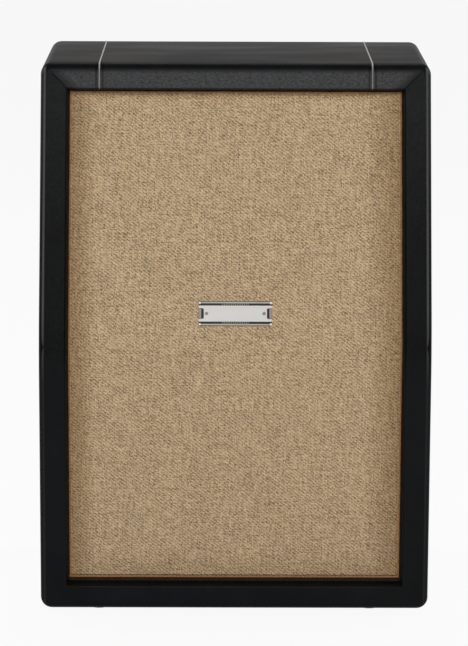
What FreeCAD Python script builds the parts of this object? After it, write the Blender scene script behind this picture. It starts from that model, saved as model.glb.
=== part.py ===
"""Guitar speaker cabinet: a tall two-speaker case whose upper front half leans back.

+Z is up, the grille faces -Y, and the origin is at the middle of the footprint, on the ground.
Lengths are in millimetres.
"""
import FreeCAD, Part
import math
import os
import Sketcher

Vector = FreeCAD.Vector
doc = FreeCAD.newDocument("speaker_cabinet")
sheet = doc.addObject("Spreadsheet::Sheet", "dims")

SIZES = [
    # case
    ("width", 515, "case, side to side"),
    ("depth", 345, "case at its foot, front to back"),
    ("height", 718, "case, without its feet"),
    ("break_height", 356.4, "where the front starts to lean, above the case's underside"),
    ("set_back", 100, "front's top edge, behind the front's foot"),
    ("bend_radius", 300, "soft bend of the front edges at the break"),
    ("corner_radius", 15, "long edges of the case, front to back"),
    ("edge_radius", 9, "edges round the front and the back"),
    ("wood", 18, "shell panels"),
    ("skin", 1.2, "leathercloth"),
    ("band_side", 35.3, "front frame beside the opening"),
    ("band_top", 33.8, "front frame above the opening, along the lean"),
    ("band_bottom", 32.6, "front frame below the opening"),
    ("recess", 22.5, "from the front down to the grille cloth"),
    ("bead_radius", 1.2, "pipings over the top"),
    ("bead_share", 0.699, "between the two pipings, as a share of the width"),
    ("cloth", 1, "grille cloth"),
    ("roll_radius", 1.5, "rolled edge round the grille cloth"),
    ("roll_bend", 4, "corners of the rolled edge"),
    ("baffle", 15, "baffle boards"),
    ("cleat", 20, "square cleats behind the baffles and before the back"),
    ("back_recess", 6, "back panel behind the case's back edge"),
    ("back_board", 15, "back panel"),
    ("fit", 0.5, "clearance round boards and under loose fits"),
    ("hair", 0.2, "clearance of close fits"),
    ("overrun", 5, "cuts past the faces that they cut"),
    # badge
    ("badge_share", 0.6855, "plate on the grille cloth, as a share of the board's hole's radius"),
    ("badge_height", 31.3, "plate, along the lean"),
    ("badge_plate", 1.6, "plate's thickness"),
    ("badge_rail", 0.8, "raised rails, above the plate"),
    ("badge_rail_height", 5, "raised rails"),
    ("badge_lift", 2, "plate's middle above the lowest place of the upper board's hole"),
    ("badge_corner", 2, "plate's corners"),
    ("badge_screw_inset", 10.5, "screws, from the plate's ends"),
    # small wood screws
    ("pin_radius", 1.2, "badge screws' shanks"),
    ("pin_head", 2.2, "badge screws' heads, radius"),
    ("pin_head_height", 1.1, "badge screws' heads"),
    ("pin_length", 10, "badge screws below their heads"),
    ("screw_radius", 2, "wood screws' shanks"),
    ("screw_head", 4, "wood screws' heads, radius"),
    ("screw_head_height", 2.4, "wood screws' heads"),
    ("screw_length", 26, "back screws below their heads"),
    ("short_screw", 13, "plate and handle screws below their heads"),
    # speakers
    ("speaker_margin", 11.87, "baskets' flanges, from the ends of the shorter board"),
    ("flange", 13, "baskets' flanges, past the boards' holes"),
    ("gasket", 3, "ring between flange and baffle"),
    ("basket_steel", 2, "pressed baskets"),
    ("mouth_lip", 3, "flange inside the surround's land"),
    ("ledge_share", 0.4664, "spider's ledge, outer radius as a share of the board's hole"),
    ("ledge_depth", 62, "spider's ledge, behind the baffle"),
    ("seat_share", 0.3958, "basket's floor, radius as a share of the board's hole"),
    ("seat_depth", 76, "basket's floor, behind the baffle"),
    ("throat_room", 6, "basket's floor, round the voice coil"),
    ("window_rim", 11, "basket's metal round its windows"),
    ("paper", 0.8, "cone, surround, spider and dust cap"),
    ("cone_paper", 1.2, "cone, along the axis"),
    ("cone_land", 3, "surround inside its half roll, up to the cone"),
    ("cone_front", 2, "cone's outer edge, behind the baffle"),
    ("cone_depth", 51, "cone, rim to neck"),
    ("cap_share", 0.2544, "dust cap, radius as a share of the board's hole"),
    ("cap_rise", 12, "dust cap's dome"),
    ("surround_room", 2.5, "baffle's hole round the surround"),
    ("surround_land", 8, "surround's glued rim"),
    ("arch_width", 10, "surround's half roll"),
    ("former_share", 0.1802, "voice coil former, outer radius as a share of the board's hole"),
    ("former_wall", 0.5, "voice coil former"),
    ("former_start", 50, "front end of the former, behind the baffle"),
    ("former_end", 91, "rear end of the former"),
    ("winding", 0.8, "voice coil wire on the former"),
    ("winding_length", 13, "voice coil, along the axis"),
    ("ripple", 1.6, "spider's ripples, height"),
    ("coil_gap", 0.7, "magnet gap each side of the coil"),
    ("plate_share", 0.424, "front and back plates, radius as a share of the board's hole"),
    ("front_plate", 8, "front plate"),
    ("magnet_share", 0.5512, "ring magnet, outer radius as a share of the board's hole"),
    ("magnet_bore_share", 0.318, "ring magnet, inner radius as a share of the board's hole"),
    ("magnet", 20, "ring magnet"),
    ("back_plate", 8, "back plate"),
    ("vent_radius", 8, "hole through the pole"),
    ("bolt_radius", 2.5, "speaker bolts"),
    ("bolt_head", 5, "speaker bolts' heads, radius"),
    ("bolt_head_height", 3, "speaker bolts' heads"),
    ("bolt_tail", 2, "bolts past their nuts"),
    ("nut_flat", 4, "speaker nuts, axis to flat"),
    ("nut", 4, "speaker nuts"),
    ("strip_length", 40, "terminal strip"),
    ("strip_height", 5, "terminal strip"),
    ("strip_width", 10, "terminal strip, along the axis"),
    ("tab_length", 6, "solder tabs"),
    ("tab_half", 1.6, "solder tabs, half width"),
    ("tab_steel", 0.8, "solder tabs"),
    ("inner_tab", 6, "jack leads' tabs, from the middle"),
    ("outer_tab", 13, "link leads' tabs, from the middle"),
    # jack and leads
    ("jack_drop", 15.6, "jack below the lower magnet"),
    ("jack_plate_side", 76, "square plate"),
    ("jack_plate", 1.5, "plate's thickness"),
    ("plate_corner", 6, "plate's corners"),
    ("plate_screw_inset", 8, "plate screws, from its edges"),
    ("jack_bore", 3.2, "plug's hole, radius"),
    ("bushing_radius", 4.7, "jack's threaded neck"),
    ("bushing_length", 6, "jack's threaded neck"),
    ("jack_radius", 11, "jack's body"),
    ("jack_length", 26, "jack's body"),
    ("jack_bore_depth", 20, "plug's hole, behind the plate"),
    ("jack_clearance", 2, "back panel's hole round the jack's body"),
    ("jack_nut_flat", 6.4, "jack nut, axis to flat"),
    ("jack_nut", 3, "jack nut"),
    ("lead_radius", 1.4, "leads"),
    ("lead_bend", 14, "leads' bends"),
    ("lead_drop", 26, "link leads' dip below the lower strip's tabs"),
    ("lead_reach", 62, "link leads' climb, behind the lower back plate"),
    ("lead_turn", 36, "link leads' turn below the upper strip's tabs"),
    # handles
    ("handle_share", 0.585, "handles above the case's underside, as a share of the height"),
    ("handle_room", 20.4, "dish's cup, from the cleats before and behind it"),
    ("dish_rim", 16, "handle's flange, before and behind the cup"),
    ("dish_height", 104, "handle's flange"),
    ("dish_steel", 1.5, "pressed dish"),
    ("cup_height", 76, "dish's cup"),
    ("cup_depth", 48, "dish's cup"),
    ("cup_corner", 10, "dish's corners"),
    ("dish_screw_inset", 8, "handle screws, from the flange's edges"),
    ("bar_radius", 8, "handle's bar"),
    ("bar_end_radius", 6, "bar's ends"),
    ("bar_taper", 10, "bar's ends, along the bar"),
    ("bar_sink", 14, "bar's middle, below the flange's face"),
    # feet
    ("foot_height", 18, "rubber feet"),
    ("foot_radius", 17, "feet, at the ground"),
    ("foot_top_radius", 19, "feet, at the case"),
    ("foot_inset", 75, "feet, from the case's faces"),
    ("foot_well", 6, "well for the screw's head, radius"),
    ("foot_well_depth", 9, "well for the screw's head"),
    ("foot_screw", 24, "foot screws below their heads"),
]
for row, (alias, size, note) in enumerate(SIZES, start=1):
    sheet.set(f"A{row}", alias)
    sheet.set(f"B{row}", str(size))
    sheet.setAlias(f"B{row}", alias)
    sheet.set(f"C{row}", note)
doc.recompute()


class Size:
    """An expression over the sheet's cells. Sums of sizes are sizes, and stay bound to the cells."""

    def __init__(self, text):
        self.text = text

    def __add__(self, other):
        return Size(f"({self.text} + {text_of(other)})")

    def __sub__(self, other):
        return Size(f"({self.text} - {text_of(other)})")

    def __mul__(self, other):
        return Size(f"({self.text} * {text_of(other)})")

    def __truediv__(self, other):
        return Size(f"({self.text} / {text_of(other)})")

    def __neg__(self):
        return Size(f"(-1 * {self.text})")

    def number(self):
        return float(sheet.evalExpression(self.text))


class Cells:
    """dims.NAME is the size in that cell."""

    def __getattr__(self, alias):
        return Size(f"dims.{alias}")


dims = Cells()
ZERO = Size("0")


def text_of(value):
    return value.text if isinstance(value, Size) else str(value)


def call(function, size):
    return Size(f"{function}({size.text})")


def shorter(one, other):
    return Size(f"min({one.text}; {other.text})")


# Places that many pieces share. Depths run back from the front's outside, climbs run up from the break.
half = dims.width / 2
bead_proud = dims.bead_radius * 2 - dims.skin
y_front = -(dims.depth + bead_proud) / 2
y_back = y_front + dims.depth
z_case = dims.foot_height
z_break = z_case + dims.break_height
z_top = z_case + dims.height
rise = dims.height - dims.break_height
slant = call("atan", dims.set_back / rise)
sine = call("sin", slant)
cosine = call("cos", slant)
mitre = call("tan", slant / 2)
bend_run = dims.bend_radius * mitre
lining = dims.skin + dims.wood
inner_half = half - lining
z_floor = z_case + lining
z_roof = z_top - lining
open_half = half - dims.band_side
climb_floor = lining - dims.break_height
climb_sill = dims.band_bottom - dims.break_height
climb_lintel = rise / cosine - dims.band_top
cloth_back = dims.recess + dims.cloth
baffle_back = cloth_back + dims.baffle
cleat_back = baffle_back + dims.cleat
back_face = y_back - dims.back_recess
board_front = back_face - dims.skin - dims.back_board


def climb_roof(depth):
    """Where the top panel's underside crosses the leaning front, at a depth behind it."""
    return (rise - lining + depth * sine) / cosine


# The speakers: one in the middle of each board, and as large as the shorter board takes
board_meet = baffle_back * mitre
low_middle = (climb_floor - board_meet) / 2
high_middle = (board_meet + climb_roof(baffle_back)) / 2
speaker_radius = shorter(-board_meet - low_middle, high_middle - board_meet) - dims.speaker_margin
cutout = speaker_radius - dims.flange
magnet_radius = cutout * dims.magnet_share


def leaned(depth, climb):
    """A place on the leaning half, as depth and climb of the upright half."""
    return depth * cosine + climb * sine, climb * cosine - depth * sine


class Arc:
    """A round stretch between two points of an outline, with its centre to the left or right of the way."""

    def __init__(self, radius, side):
        self.radius = radius
        self.side = side


def bend_side(inset):
    """The soft bend of a front edge, drawn inset from the outside: its two ends and the arc between."""
    start = (inset, -bend_run)
    return [start, Arc(dims.bend_radius - inset, "right"), leaned(inset, bend_run)]


# Drawing and building

def place(piece, x, y, z, turn=ZERO, axis="1; 0; 0"):
    """Binds a piece's placement to sizes."""
    position = f"vector({x.text}; {y.text}; {z.text})"
    piece.setExpression("Placement", f"placement({position}; rotation(vector({axis}); {turn.text}))")


def place_on_front(piece, leans, depth=ZERO, climb=ZERO, x=ZERO):
    """Places a piece drawn in the frame of the upright or leaning half of the front."""
    run, up = leaned(depth, climb) if leans else (depth, climb)
    place(piece, x, y_front + run, z_break + up, -slant if leans else ZERO)


def new_body(label):
    body = doc.addObject("PartDesign::Body", label)
    body.Label = label
    body.AllowCompound = True
    return body


class Drawing:
    """A sketch on one of its body's origin planes, with every point and radius bound to sizes."""

    def __init__(self, body, plane):
        self.sketch = body.newObject("Sketcher::SketchObject", f"{body.Name}_sketch")
        support = [o for o in body.Origin.OriginFeatures if o.Role == plane][0]
        self.sketch.AttachmentSupport = (support, "")
        self.sketch.MapMode = "FlatFace"

    def bind(self, kind, size, *geometry):
        index = self.sketch.addConstraint(Sketcher.Constraint(kind, *geometry, size.number()))
        self.sketch.setExpression(f"Constraints[{index}]", size.text)

    def fix(self, item, end, x, y):
        for kind, size, axis in (("DistanceX", x, -2), ("DistanceY", y, -1)):
            if size is ZERO:
                self.sketch.addConstraint(Sketcher.Constraint("PointOnObject", item, end, axis))
            else:
                self.bind(kind, size, item, end)

    def circle(self, x, y, radius):
        middle = Vector(x.number(), y.number(), 0)
        item = self.sketch.addGeometry(Part.Circle(middle, Vector(0, 0, 1), radius.number()), False)
        self.fix(item, 3, x, y)
        self.bind("Radius", radius, item)
        return self

    def outline(self, steps):
        """A closed line through points, straight unless an Arc stands between two of them."""
        points = [step for step in steps if not isinstance(step, Arc)]
        after = {}
        for step in steps:
            if isinstance(step, Arc):
                after[last] = step
            else:
                last = points.index(step)
        places = [Vector(x.number(), y.number(), 0) for x, y in points]
        items = []
        for i, start in enumerate(places):
            end = places[(i + 1) % len(places)]
            items.append(self.stretch(start, end, after.get(i)))
        for i, (item, first, last) in enumerate(items):
            following, begin, _ = items[(i + 1) % len(items)]
            self.sketch.addConstraint(Sketcher.Constraint("Coincident", item, last, following, begin))
        for (item, first, _), (x, y) in zip(items, points):
            self.fix(item, first, x, y)
        for i, arc in after.items():
            self.bind("Radius", arc.radius, items[i][0])
        return self

    def stretch(self, start, end, arc):
        """Adds one line or arc. Returns it with the numbers of its first and last ends."""
        if arc is None:
            return self.sketch.addGeometry(Part.LineSegment(start, end), False), 1, 2
        chord = end - start
        radius = arc.radius.number()
        reach = (radius ** 2 - (chord.Length / 2) ** 2) ** 0.5
        left = Vector(-chord.y, chord.x, 0).normalize()
        left_hand = arc.side == "left"
        middle = start + chord / 2 + left * (reach if left_hand else -reach)
        circle = Part.Circle(middle, Vector(0, 0, 1), radius)
        first, last = (start, end) if left_hand else (end, start)
        curve = Part.ArcOfCircle(circle, circle.parameter(first), circle.parameter(last))
        ends = (1, 2) if left_hand else (2, 1)
        return (self.sketch.addGeometry(curve, False), *ends)


def rectangle(x0, x1, y0, y1):
    return [(x0, y0), (x1, y0), (x1, y1), (x0, y1)]


def pad(body, drawing, length, way="One side", back=False):
    feature = body.newObject("PartDesign::Pad", f"{body.Name}_pad")
    feature.Profile = drawing.sketch
    feature.setExpression("Length", length.text)
    feature.SideType = way
    feature.Reversed = back
    doc.recompute()
    return feature


def pocket(body, drawing, depth=None):
    """Cuts a drawing as deep as given to both sides of its plane, or right through."""
    feature = body.newObject("PartDesign::Pocket", f"{body.Name}_pocket")
    feature.Profile = drawing.sketch
    feature.SideType = "Symmetric"
    if depth is None:
        feature.Type = "ThroughAll"
    else:
        feature.setExpression("Length", (depth * 2).text)
    doc.recompute()
    return feature


def revolve(label, plane, steps):
    """A body turned about the upright axis of its drawing."""
    body = new_body(label)
    drawing = Drawing(body, plane).outline(steps)
    feature = body.newObject("PartDesign::Revolution", f"{label}_turned")
    feature.Profile = drawing.sketch
    feature.ReferenceAxis = (drawing.sketch, ["V_Axis"])
    doc.recompute()
    return body


def fillet(body, names, radius):
    feature = body.newObject("PartDesign::Fillet", f"{body.Name}_fillet")
    feature.Base = (body.Group[-2], names)
    feature.setExpression("Radius", radius.text)
    doc.recompute()
    return feature


def edges_along(shape, axis):
    """Names of the straight edges that run along an axis."""
    return [
        f"Edge{i}"
        for i, edge in enumerate(shape.Edges, start=1)
        if edge.Curve.TypeId == "Part::GeomLine" and abs(abs(edge.Curve.Direction.dot(axis)) - 1) < 1e-6
    ]


def rim_edges(shape, facing):
    """Names of the edges round the faces that look one way, but not those between two such faces."""
    rim = []
    for face in shape.Faces:
        u0, u1, v0, v1 = face.ParameterRange
        if face.normalAt((u0 + u1) / 2, (v0 + v1) / 2).dot(facing) > 0.7:
            rim += face.Edges
    single = [e for e in rim if sum(e.isSame(other) for other in rim) == 1]
    return [f"Edge{i}" for i, e in enumerate(shape.Edges, start=1) if any(e.isSame(s) for s in single)]


def region(x0, x1, y0, y1, z0, z1):
    """A box that picks out part of another solid."""
    box = doc.addObject("Part::Box", "region")
    for name, low, high in (("Length", x0, x1), ("Width", y0, y1), ("Height", z0, z1)):
        box.setExpression(name, (high - low).text)
    place(box, x0, y0, z0)
    return box


def combine(kind, label, base, tool):
    piece = doc.addObject(f"Part::{kind}", label)
    piece.Label = label
    piece.Base = base
    piece.Tool = tool
    doc.recompute()
    return piece


def together(label, pieces):
    group = doc.addObject("Part::Compound", label)
    group.Label = label
    group.Links = pieces
    doc.recompute()
    return group


def copies(label, master, placements):
    """A node of like solids: the master's shape at each placement."""
    solids = []
    for placement in placements:
        solid = master.Tip.Shape.copy()
        solid.Placement = placement.multiply(solid.Placement)
        solids.append(solid)
    group = doc.addObject("Part::Feature", label)
    group.Label = label
    group.Shape = Part.makeCompound(solids)
    return group


def at(x, y, z, axis=Vector(1, 0, 0), degrees=0):
    """A placement in numbers, for copies."""
    position = Vector(x.number(), y.number(), z.number())
    return FreeCAD.Placement(position, FreeCAD.Rotation(axis, degrees))


def rod(points, radius, bend):
    """A round bar along straight runs, with its corners rounded to a bend."""
    edges = []
    start = points[0]
    for before, corner, following in zip(points, points[1:], points[2:]):
        back = (before - corner).normalize()
        on = (following - corner).normalize()
        trim = bend / math.tan(back.getAngle(on) / 2)
        first = corner + back * trim
        last = corner + on * trim
        inside = (back + on).normalize()
        centre = corner + inside * (trim ** 2 + bend ** 2) ** 0.5
        edges.append(Part.LineSegment(start, first).toShape())
        edges.append(Part.Arc(first, centre - inside * bend, last).toShape())
        start = last
    edges.append(Part.LineSegment(start, points[-1]).toShape())
    path = Part.Wire(edges)
    ring = Part.Wire([Part.Circle(points[0], points[1] - points[0], radius).toShape()])
    return path.makePipeShell([ring], True, False)


def front_place(x, depth, climb):
    """A place on the upright half of the front, in numbers."""
    return Vector(x.number(), (y_front + depth).number(), (z_break + climb).number())


def bars(label, solids):
    """A node made of round bars."""
    piece = doc.addObject("Part::Feature", label)
    piece.Label = label
    piece.Shape = Part.makeCompound(solids)
    return piece


def polar(radius, degrees):
    """A place round an axis, as a share of the radius each way."""
    shares = [round(f(math.radians(degrees)), 6) for f in (math.cos, math.sin)]
    return tuple(radius * share if share else ZERO for share in shares)


def rounded(length, height, radius):
    """A rectangle about the origin with round corners."""
    x, y = length / 2, height / 2
    arc = Arc(radius, "left")
    lower = [(radius - x, -y), (x - radius, -y), arc, (x, radius - y), (x, y - radius), arc]
    upper = [(x - radius, y), (radius - x, y), arc, (-x, y - radius), (-x, radius - y), arc]
    return lower + upper


def ring(label, inner, outer, start, end):
    """A plain ring about the speaker's axis."""
    return revolve(label, "XY_Plane", rectangle(inner, outer, start, end))


# The case as two blocks: its covered outside, and the wood under the covering

def case_profile(inset):
    """The case from the side, drawn inset from its outside."""
    foot = inset - dims.break_height
    roof = rise - inset
    rear = dims.depth - inset
    top_front = ((inset + roof * sine) / cosine, roof)
    return [(inset, foot), *bend_side(inset), top_front, (rear, roof), (rear, foot)]


def case_block(label, inset):
    body = new_body(label)
    drawing = Drawing(body, "YZ_Plane").outline(case_profile(inset))
    block = pad(body, drawing, dims.width - inset * 2, "Symmetric")
    long_edges = edges_along(block.Shape, Vector(0, 1, 0))
    eased = fillet(body, long_edges, dims.corner_radius - inset)
    rims = rim_edges(eased.Shape, Vector(0, -1, 0)) + rim_edges(eased.Shape, Vector(0, 1, 0))
    fillet(body, rims, dims.edge_radius - inset)
    place_on_front(body, False)
    return body


covered_case = case_block("covered_case", ZERO)
wooden_case = case_block("wooden_case", dims.skin)
y_before = y_front - dims.overrun
y_behind = y_back + dims.overrun
z_over = z_top + dims.overrun
z_under = z_case - dims.overrun
x_past = half + dims.overrun


def panel(label, *limits):
    """A shell panel: what the wooden case has between limits."""
    return combine("Common", label, wooden_case, region(*limits))


# Handles: a pressed dish let into each side, with a fixed bar across it
handle_rise = dims.height * dims.handle_share
cup_top = handle_rise + dims.cup_height / 2 - dims.break_height
cup_front = (cleat_back + cup_top * sine) / cosine + dims.handle_room
cup_rear = board_front - y_front - dims.cleat - dims.handle_room
cup_length = cup_rear - cup_front
dish_length = cup_length + dims.dish_rim * 2
y_handle = y_front + (cup_front + cup_rear) / 2
z_handle = z_case + handle_rise
dish_screw_y = dish_length / 2 - dims.dish_screw_inset
dish_screw_z = dims.dish_height / 2 - dims.dish_screw_inset
dish_screws = [(y, z) for y in (-dish_screw_y, dish_screw_y) for z in (-dish_screw_z, dish_screw_z)]
SIDES = {"left": (-half, Size("180")), "right": (half, ZERO)}
dishes = []
cutters = {}
for side, (x_side, turn) in SIDES.items():
    dish = new_body(f"{side}_handle_dish")
    flange = rounded(dish_length, dims.dish_height, dims.cup_corner)
    cup = rounded(cup_length, dims.cup_height, dims.cup_corner)
    wall = dims.dish_steel * 2
    hollow = rounded(cup_length - wall, dims.cup_height - wall, dims.cup_corner - dims.dish_steel)
    pad(dish, Drawing(dish, "YZ_Plane").outline(flange), dims.dish_steel, back=True)
    pad(dish, Drawing(dish, "YZ_Plane").outline(cup), dims.cup_depth, back=True)
    pocket(dish, Drawing(dish, "YZ_Plane").outline(hollow), dims.cup_depth - dims.dish_steel)
    holes = Drawing(dish, "YZ_Plane")
    for y, z in dish_screws:
        holes.circle(y, z, dims.screw_radius + dims.hair)
    pocket(dish, holes)
    place(dish, x_side, y_handle, z_handle, turn, "0; 0; 1")

    cutter = new_body(f"{side}_handle_cutter")
    room = dims.hair * 2
    sill = rounded(dish_length + room, dims.dish_height + room, dims.cup_corner + dims.hair)
    throat = rounded(cup_length + room, dims.cup_height + room, dims.cup_corner + dims.hair)
    pad(cutter, Drawing(cutter, "YZ_Plane").outline(sill), dims.dish_steel * 2, "Symmetric")
    pad(cutter, Drawing(cutter, "YZ_Plane").outline(throat), (lining + dims.overrun) * 2, "Symmetric")
    pilots = Drawing(cutter, "YZ_Plane")
    for y, z in dish_screws:
        pilots.circle(y, z, dims.screw_radius + dims.hair)
    pad(cutter, pilots, (dims.short_screw + dims.fit) * 2, "Symmetric")
    place(cutter, x_side, y_handle, z_handle, turn, "0; 0; 1")
    cutters[side] = cutter

    reach = cup_length / 2 - dims.dish_steel - dims.hair
    bar = revolve(f"{side}_handle_bar", "XY_Plane", [
        (ZERO, -reach),
        (dims.bar_end_radius, -reach),
        (dims.bar_radius, dims.bar_taper - reach),
        (dims.bar_radius, reach - dims.bar_taper),
        (dims.bar_end_radius, reach),
        (ZERO, reach),
    ])
    sink = dims.bar_sink if side == "left" else -dims.bar_sink
    place(bar, x_side + sink, y_handle, z_handle)
    dishes += [dish, bar]


# Small screws, drawn with their heads outside the face that they hold down
def screw(label, radius, head, head_height, length):
    return revolve(label, "XY_Plane", [
        (ZERO, head_height),
        (head, head_height),
        (head, ZERO),
        (radius, ZERO),
        (radius, -length),
        (ZERO, -length),
    ])


screw_sizes = (dims.screw_radius, dims.screw_head, dims.screw_head_height)
back_screw = screw("back_screw", *screw_sizes, dims.screw_length)
plate_screw = screw("plate_screw", *screw_sizes, dims.short_screw)
badge_pin = screw("badge_pin", dims.pin_radius, dims.pin_head, dims.pin_head_height, dims.pin_length)
spots = []
for side, outward in (("left", 90), ("right", -90)):
    x_side = SIDES[side][0]
    for y, z in dish_screws:
        spots.append(at(x_side, y_handle + y, z_handle + z, Vector(0, 0, 1), outward))
handle_screws = copies("handle_screws", plate_screw, spots)

# Feet: turned rubber, each held by one screw from below
foot = revolve("foot", "XZ_Plane", [
    (dims.foot_well, ZERO),
    (dims.foot_radius, ZERO),
    (dims.foot_top_radius, dims.foot_height),
    (dims.screw_radius + dims.hair, dims.foot_height),
    (dims.screw_radius + dims.hair, dims.foot_well_depth),
    (dims.foot_well, dims.foot_well_depth),
])
x_foot = half - dims.foot_inset
foot_spots = [
    at(x, y, ZERO)
    for x in (-x_foot, x_foot)
    for y in (y_front + dims.foot_inset, y_back - dims.foot_inset)
]
rubber_feet = copies("rubber_feet", foot, foot_spots)
foot_tip = dims.foot_well_depth + dims.foot_screw
foot_screw = revolve("foot_screw", "XZ_Plane", [
    (ZERO, dims.foot_well_depth - dims.screw_head_height),
    (dims.screw_head, dims.foot_well_depth - dims.screw_head_height),
    (dims.screw_head, dims.foot_well_depth),
    (dims.screw_radius, dims.foot_well_depth),
    (dims.screw_radius, foot_tip),
    (ZERO, foot_tip),
])
foot_screws = copies("foot_screws", foot_screw, foot_spots)
foot_hole = revolve("foot_hole", "XZ_Plane", [
    (ZERO, dims.foot_well_depth),
    (dims.screw_radius + dims.hair, dims.foot_well_depth),
    (dims.screw_radius + dims.hair, foot_tip + dims.fit),
    (ZERO, foot_tip + dims.fit),
])
foot_holes = copies("foot_holes", foot_hole, foot_spots)

# Shell panels, glued edge to edge under the covering
across = (-inner_half, inner_half, y_before, y_behind)
top_panel = panel("top_panel", *across, z_roof, z_over)
bottom_blank = panel("bottom_blank", *across, z_under, z_floor)
bottom_panel = combine("Cut", "bottom_panel", bottom_blank, foot_holes)
upright = (y_before, y_behind, z_under, z_over)
left_blank = panel("left_side_blank", -x_past, -inner_half, *upright)
right_blank = panel("right_side_blank", inner_half, x_past, *upright)
left_side_panel = combine("Cut", "left_side_panel", left_blank, cutters["left"])
right_side_panel = combine("Cut", "right_side_panel", right_blank, cutters["right"])

# Front frame: rails and stiles that stand inside the shell, flush with its front
front_top_rail = new_body("front_top_rail")
lintel = climb_lintel + dims.skin
pad(front_top_rail, Drawing(front_top_rail, "YZ_Plane").outline([
    (dims.skin, lintel),
    (dims.recess, lintel),
    (dims.recess, climb_roof(dims.recess)),
    (dims.skin, climb_roof(dims.skin)),
]), inner_half * 2, "Symmetric")
place_on_front(front_top_rail, True)

front_bottom_rail = new_body("front_bottom_rail")
sill_top = climb_sill - dims.skin
sill_box = rectangle(dims.skin, dims.recess, climb_floor, sill_top)
sill_drawing = Drawing(front_bottom_rail, "YZ_Plane").outline(sill_box)
pad(front_bottom_rail, sill_drawing, inner_half * 2, "Symmetric")
place_on_front(front_bottom_rail, False)

stiles = []
stile_width = inner_half - open_half - dims.skin
for side, x_start in (("left", -inner_half), ("right", open_half + dims.skin)):
    stile = new_body(f"{side}_front_stile")
    pad(stile, Drawing(stile, "YZ_Plane").outline([
        (dims.skin, sill_top),
        *bend_side(dims.skin),
        leaned(dims.skin, lintel),
        leaned(dims.recess, lintel),
        (dims.recess, -dims.recess * mitre),
        (dims.recess, sill_top),
    ]), stile_width)
    place_on_front(stile, False, x=x_start)
    stiles.append(stile)


# Covering: a skin over the whole case that turns into the front opening, seamed at each piping
def window(label, grow, depth):
    """The front opening as a solid, from before the front down to a depth, grown all round."""
    body = new_body(label)
    ahead = -dims.overrun
    pad(body, Drawing(body, "YZ_Plane").outline([
        (ahead, climb_sill - grow),
        (depth, climb_sill - grow),
        (depth, -depth * mitre),
        leaned(depth, climb_lintel + grow),
        leaned(ahead, climb_lintel + grow),
        (ahead, -ahead * mitre),
    ]), (open_half + grow) * 2, "Symmetric")
    place_on_front(body, False)
    return body


lined_recess = window("lined_recess", dims.skin, dims.recess)
recessed_wood = combine("Cut", "recessed_wood", wooden_case, lined_recess)
plugged_skin = combine("Cut", "plugged_skin", covered_case, recessed_wood)
opening = window("front_opening", ZERO, dims.recess + dims.overrun)
front_open = combine("Cut", "front_open_skin", plugged_skin, opening)
back_mouth = region(-inner_half, inner_half, y_back - dims.wood, y_behind, z_floor, z_roof)
skin = combine("Cut", "open_skin", front_open, back_mouth)
for side, cutter in cutters.items():
    skin = combine("Cut", f"skin_{side}", skin, cutter)
skin = combine("Cut", "skin_over_feet", skin, foot_holes)
x_bead = half * dims.bead_share
seam = dims.bead_radius + dims.hair
strip = region(seam - x_bead, x_bead - seam, y_before, y_behind, z_break, z_over)
top_covering = combine("Common", "top_covering", skin, strip)
gap = region(-x_bead - seam, x_bead + seam, y_before, y_behind, z_break, z_over)
wrap_covering = combine("Cut", "wrap_covering", skin, gap)

# Pipings: round beads in the seams, from the front opening over the top to the back opening
bead_sink = dims.skin - dims.bead_radius
bead_bend = (dims.edge_radius - bead_sink).number()
bead_roof = rise - bead_sink
bead_route = [
    leaned(bead_sink, climb_lintel),
    ((bead_sink + bead_roof * sine) / cosine, bead_roof),
    (dims.depth - bead_sink, bead_roof),
    (dims.depth - bead_sink, rise - lining),
]
pipings = []
for side, x in (("left", -x_bead), ("right", x_bead)):
    route = [front_place(x, depth, climb) for depth, climb in bead_route]
    pipings.append(bars(f"{side}_piping", [rod(route, dims.bead_radius.number(), bead_bend)]))

# Grille cloth over both baffles, pinched between them and the front frame
pin_hole = revolve("badge_pin_hole", "XY_Plane", [
    (ZERO, dims.overrun),
    (dims.pin_radius + dims.hair, dims.overrun),
    (dims.pin_radius + dims.hair, -dims.pin_length),
    (ZERO, -dims.pin_length),
])
badge_width = cutout * dims.badge_share
badge_climb = high_middle - cutout + dims.badge_lift
badge_screw_x = badge_width / 2 - dims.badge_screw_inset
pin_depth = dims.recess - dims.badge_plate
pin_run, pin_up = leaned(pin_depth, badge_climb)
lean = slant.number()
pin_turn = FreeCAD.Rotation(Vector(1, 0, 0), -lean).multiply(FreeCAD.Rotation(Vector(0, 0, 1), 180))
pin_spots = [
    FreeCAD.Placement(front_place(x, pin_run, pin_up), pin_turn) for x in (-badge_screw_x, badge_screw_x)
]
pin_holes = copies("badge_pin_holes", pin_hole, pin_spots)
cloth_sheet = new_body("cloth_sheet")
pad(cloth_sheet, Drawing(cloth_sheet, "YZ_Plane").outline([
    (dims.recess, climb_floor + dims.fit),
    (cloth_back, climb_floor + dims.fit),
    (cloth_back, -cloth_back * mitre),
    leaned(cloth_back, climb_roof(cloth_back) - dims.fit),
    leaned(dims.recess, climb_roof(dims.recess) - dims.fit),
    (dims.recess, -dims.recess * mitre),
]), (inner_half - dims.fit) * 2, "Symmetric")
place_on_front(cloth_sheet, False)
doc.recompute()
grille_cloth = combine("Cut", "grille_cloth", cloth_sheet, pin_holes)

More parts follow.
